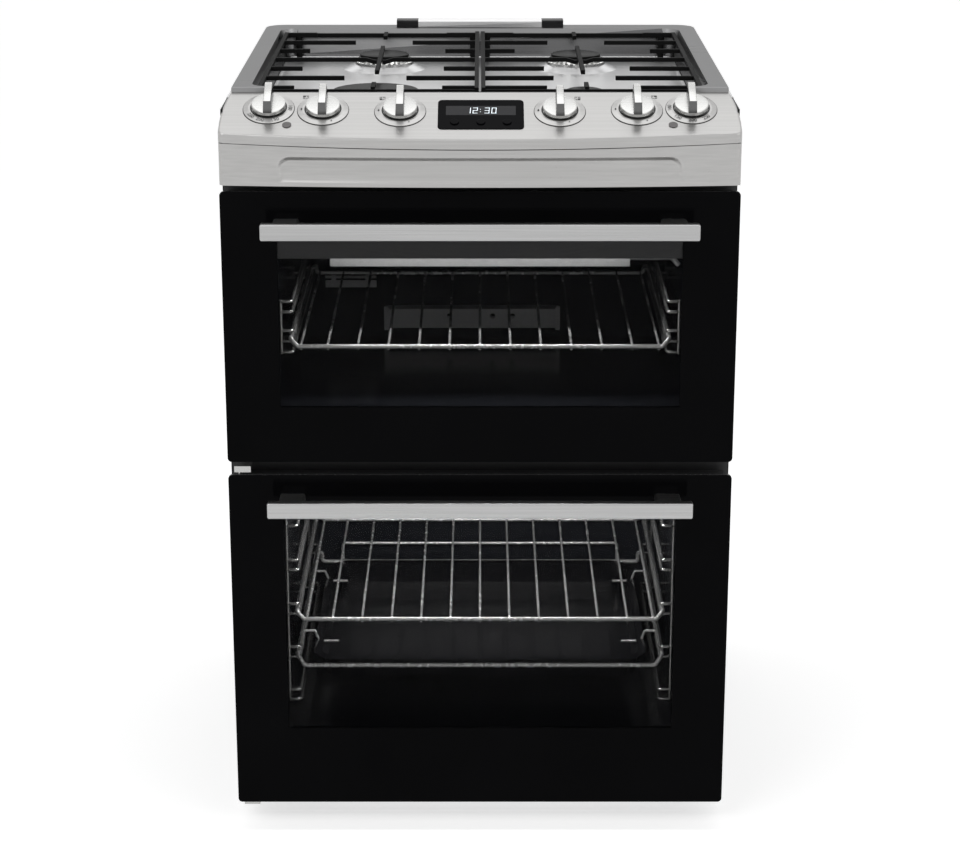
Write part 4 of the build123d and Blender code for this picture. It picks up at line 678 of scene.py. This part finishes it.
def ring_marks(name, x, marks):
    """Printed marks round a knob's ring; each is (text, degrees clockwise from the top)."""
    place = panel_frame(x, knob_depth(x), RING_TOP)
    for index, (text, turn) in enumerate(marks):
        angle = math.radians(90 - turn)
        spot = Matrix.Translation((MARK_RADIUS * math.cos(angle), MARK_RADIUS * math.sin(angle), 0))
        facing = Matrix.Rotation(angle + math.pi / 2 if 90 < turn < 270 else angle - math.pi / 2, 4, "Z")
        mark_text(f"{name}_{index}", text, place @ spot @ facing, 0.0066)


def flame(bm, place, size):
    """A small flat drop shape for the flame signs."""
    points = [(0, 1.0), (0.45, 0.25), (0.55, -0.25), (0.3, -0.8), (-0.3, -0.8), (-0.55, -0.25), (-0.3, 0.1)]
    low = [bm.verts.new(place @ Vector((x * size, y * size, 0))) for x, y in points]
    high = [bm.verts.new(place @ Vector((x * size, y * size, PRINT))) for x, y in points]
    bm.faces.new(low)
    bm.faces.new(high[::-1])
    for i in range(len(points)):
        j = (i + 1) % len(points)
        bm.faces.new([low[i], high[i], high[j], low[j]])


def burner_sign(bm, x, depth, spot):
    """Four small squares in a frame, one of them solid, that tell which burner a knob turns."""
    place = panel_frame(x, depth, 0.00004)
    half, dot, stroke = 0.0030, 0.0011, 0.0003
    for i in (-1, 1):
        low, high = i * half - stroke, i * half + stroke
        print_bar(bm, place, -half, half, low, high)
        print_bar(bm, place, low, high, -half, half)
        for j in (-1, 1):
            reach = dot * (1.3 if (i, j) == spot else 0.6)
            cx, cy = i * half / 2, j * half / 2
            print_bar(bm, place, cx - reach, cx + reach, cy - reach, cy + reach)


def dial_marks():
    """Numbers on the ovens' rings, flame signs on the burners' rings and signs on the panel, in print; and
    dark rings at each bezel's outer edge and in the gap round each knob's disc, painted shade.
    """
    ring_marks("dial_1", KNOB_PLACES[0], [("250", 232), ("200", 200), ("150", 160), ("100", 90), ("-", 0)])
    ring_marks("dial_6", KNOB_PLACES[5], [("100", 270), ("150", 222), ("200", 180), ("250", 140), ("-", 0)])
    bm = bmesh.new()
    for number, spot in ((2, (-1, 1)), (3, (-1, -1)), (4, (1, -1)), (5, (1, 1))):
        x = KNOB_PLACES[number - 1]
        place = panel_frame(x, knob_depth(x), RING_TOP)
        side = -1 if number < 4 else 1
        flame(bm, place @ Matrix.Translation((-MARK_RADIUS, 0.0, 0)), 0.0022)
        flame(bm, place @ Matrix.Translation((0.0105, -0.0224, 0)), 0.0013)
        print_bar(bm, place, -0.0004, 0.0004, 0.0232, 0.0262)
        burner_sign(bm, x + side * 0.0210, knob_depth(x) + 0.0240, spot)
    add_piece("dial_signs", bm, "ink_and_painted_shade", "cooker")
    # Dark rings at each bezel's outer edge and in the gap between disc and bezel: painted shade in a groove
    # and a shadowed gap.
    shade_rings = bmesh.new()
    for x in KNOB_PLACES:
        place = panel_frame(x, knob_depth(x))
        for inner, outer, low, high in ((0.0288, 0.0299, 0.00002, 0.00022), (0.0197, 0.0213, 0.0006, 0.0026)):
            lathe(shade_rings, [(inner, low), (outer, low), (outer, high), (inner, high), (inner, low)], place)
    add_piece("dial_painted_shade_rings", shade_rings, "ink_and_painted_shade", "cooker")


# Camera, light and stage

def camera():
    """The photograph's station. The lens was level and raised there; here it is pitched down instead."""
    data = bpy.data.cameras.new("camera")
    cam = bpy.data.objects.new("camera", data)
    scene.collection.objects.link(cam)
    data.sensor_width = 36.0
    data.lens = 92.0
    pitch = math.radians(17.35)
    cam.location = (0.0, -3.0239, 1.3724)
    cam.rotation_euler = (math.pi / 2 - pitch, 0, 0)
    scene.camera = cam


def area_light(name, place, target, size, energy):
    data = bpy.data.lights.new(name, "AREA")
    data.shape = "RECTANGLE"
    data.size, data.size_y = size
    data.energy = energy
    lamp = bpy.data.objects.new(name, data)
    lamp.location = place
    lamp.rotation_euler = (Vector(target) - Vector(place)).to_track_quat("-Z", "Y").to_euler()
    scene.collection.objects.link(lamp)


def lights():
    area_light("key", (-1.6, -2.2, 2.6), (0, 0, 0.5), (1.6, 1.2), 13)
    area_light("fill", (2.0, -2.0, 1.8), (0, 0, 0.5), (1.4, 1.4), 6)
    area_light("top", (0.0, 0.2, 3.0), (0, 0, 0.9), (2.0, 1.6), 8)
    area_light("rim", (0.0, 2.4, 2.2), (0, 0, 0.9), (2.4, 1.0), 6)
    area_light("upper_oven_light", (0.0, at(0.065), 0.752), (0, at(0.32), 0.60), (0.36, 0.02), 2.0)
    area_light("lower_oven_light", (0.0, at(0.055), 0.412), (0, at(0.32), 0.22), (0.40, 0.02), 1.8)
    world = bpy.data.worlds.new("studio")
    scene.world = world
    world.use_nodes = True
    tree = world.node_tree
    background = tree.nodes["Background"]
    link(tree, spread(tree, seen_directly(tree), 0.45, 1.0, 0.0, 1.0), background.inputs["Strength"])
    background.inputs["Color"].default_value = (1, 1, 1, 1)


def stage():
    """Plain pale floor that keeps the cooker's shadow."""
    bm = bmesh.new()
    reach = 14.0
    bm.faces.new([bm.verts.new((x, y, 0)) for x, y in ((-reach, -reach), (reach, -reach), (reach, reach),
                                                       (-reach, reach))])
    mesh = bpy.data.meshes.new("floor")
    bm.to_mesh(mesh)
    bm.free()
    floor = bpy.data.objects.new("floor", mesh)
    scene.collection.objects.link(floor)
    mat = material("floor_paint", (0.82, 0.82, 0.82), (0.6, 0.7), 0.01, (1, 1, 1), 3.0,
                   Specular_IOR_Level=0.1)
    tree = mat.node_tree
    shader = tree.nodes["Principled BSDF"]
    shader.inputs["Emission Color"].default_value = (1, 1, 1, 1)
    link(tree, spread(tree, seen_directly(tree), 0.0, 0.6, 0.0, 1.0), shader.inputs["Emission Strength"])
    mesh.materials.append(mat)


def main():
    dress_nodes()
    dress_pan()
    dress_hob()
    dress_oven_metal()
    dress_door_edges()
    flue_trim()
    fascia()
    knobs()
    dial_marks()
    burners()
    clock_display()
    camera()
    lights()
    stage()
    scene.view_settings.view_transform = "Standard"


main()
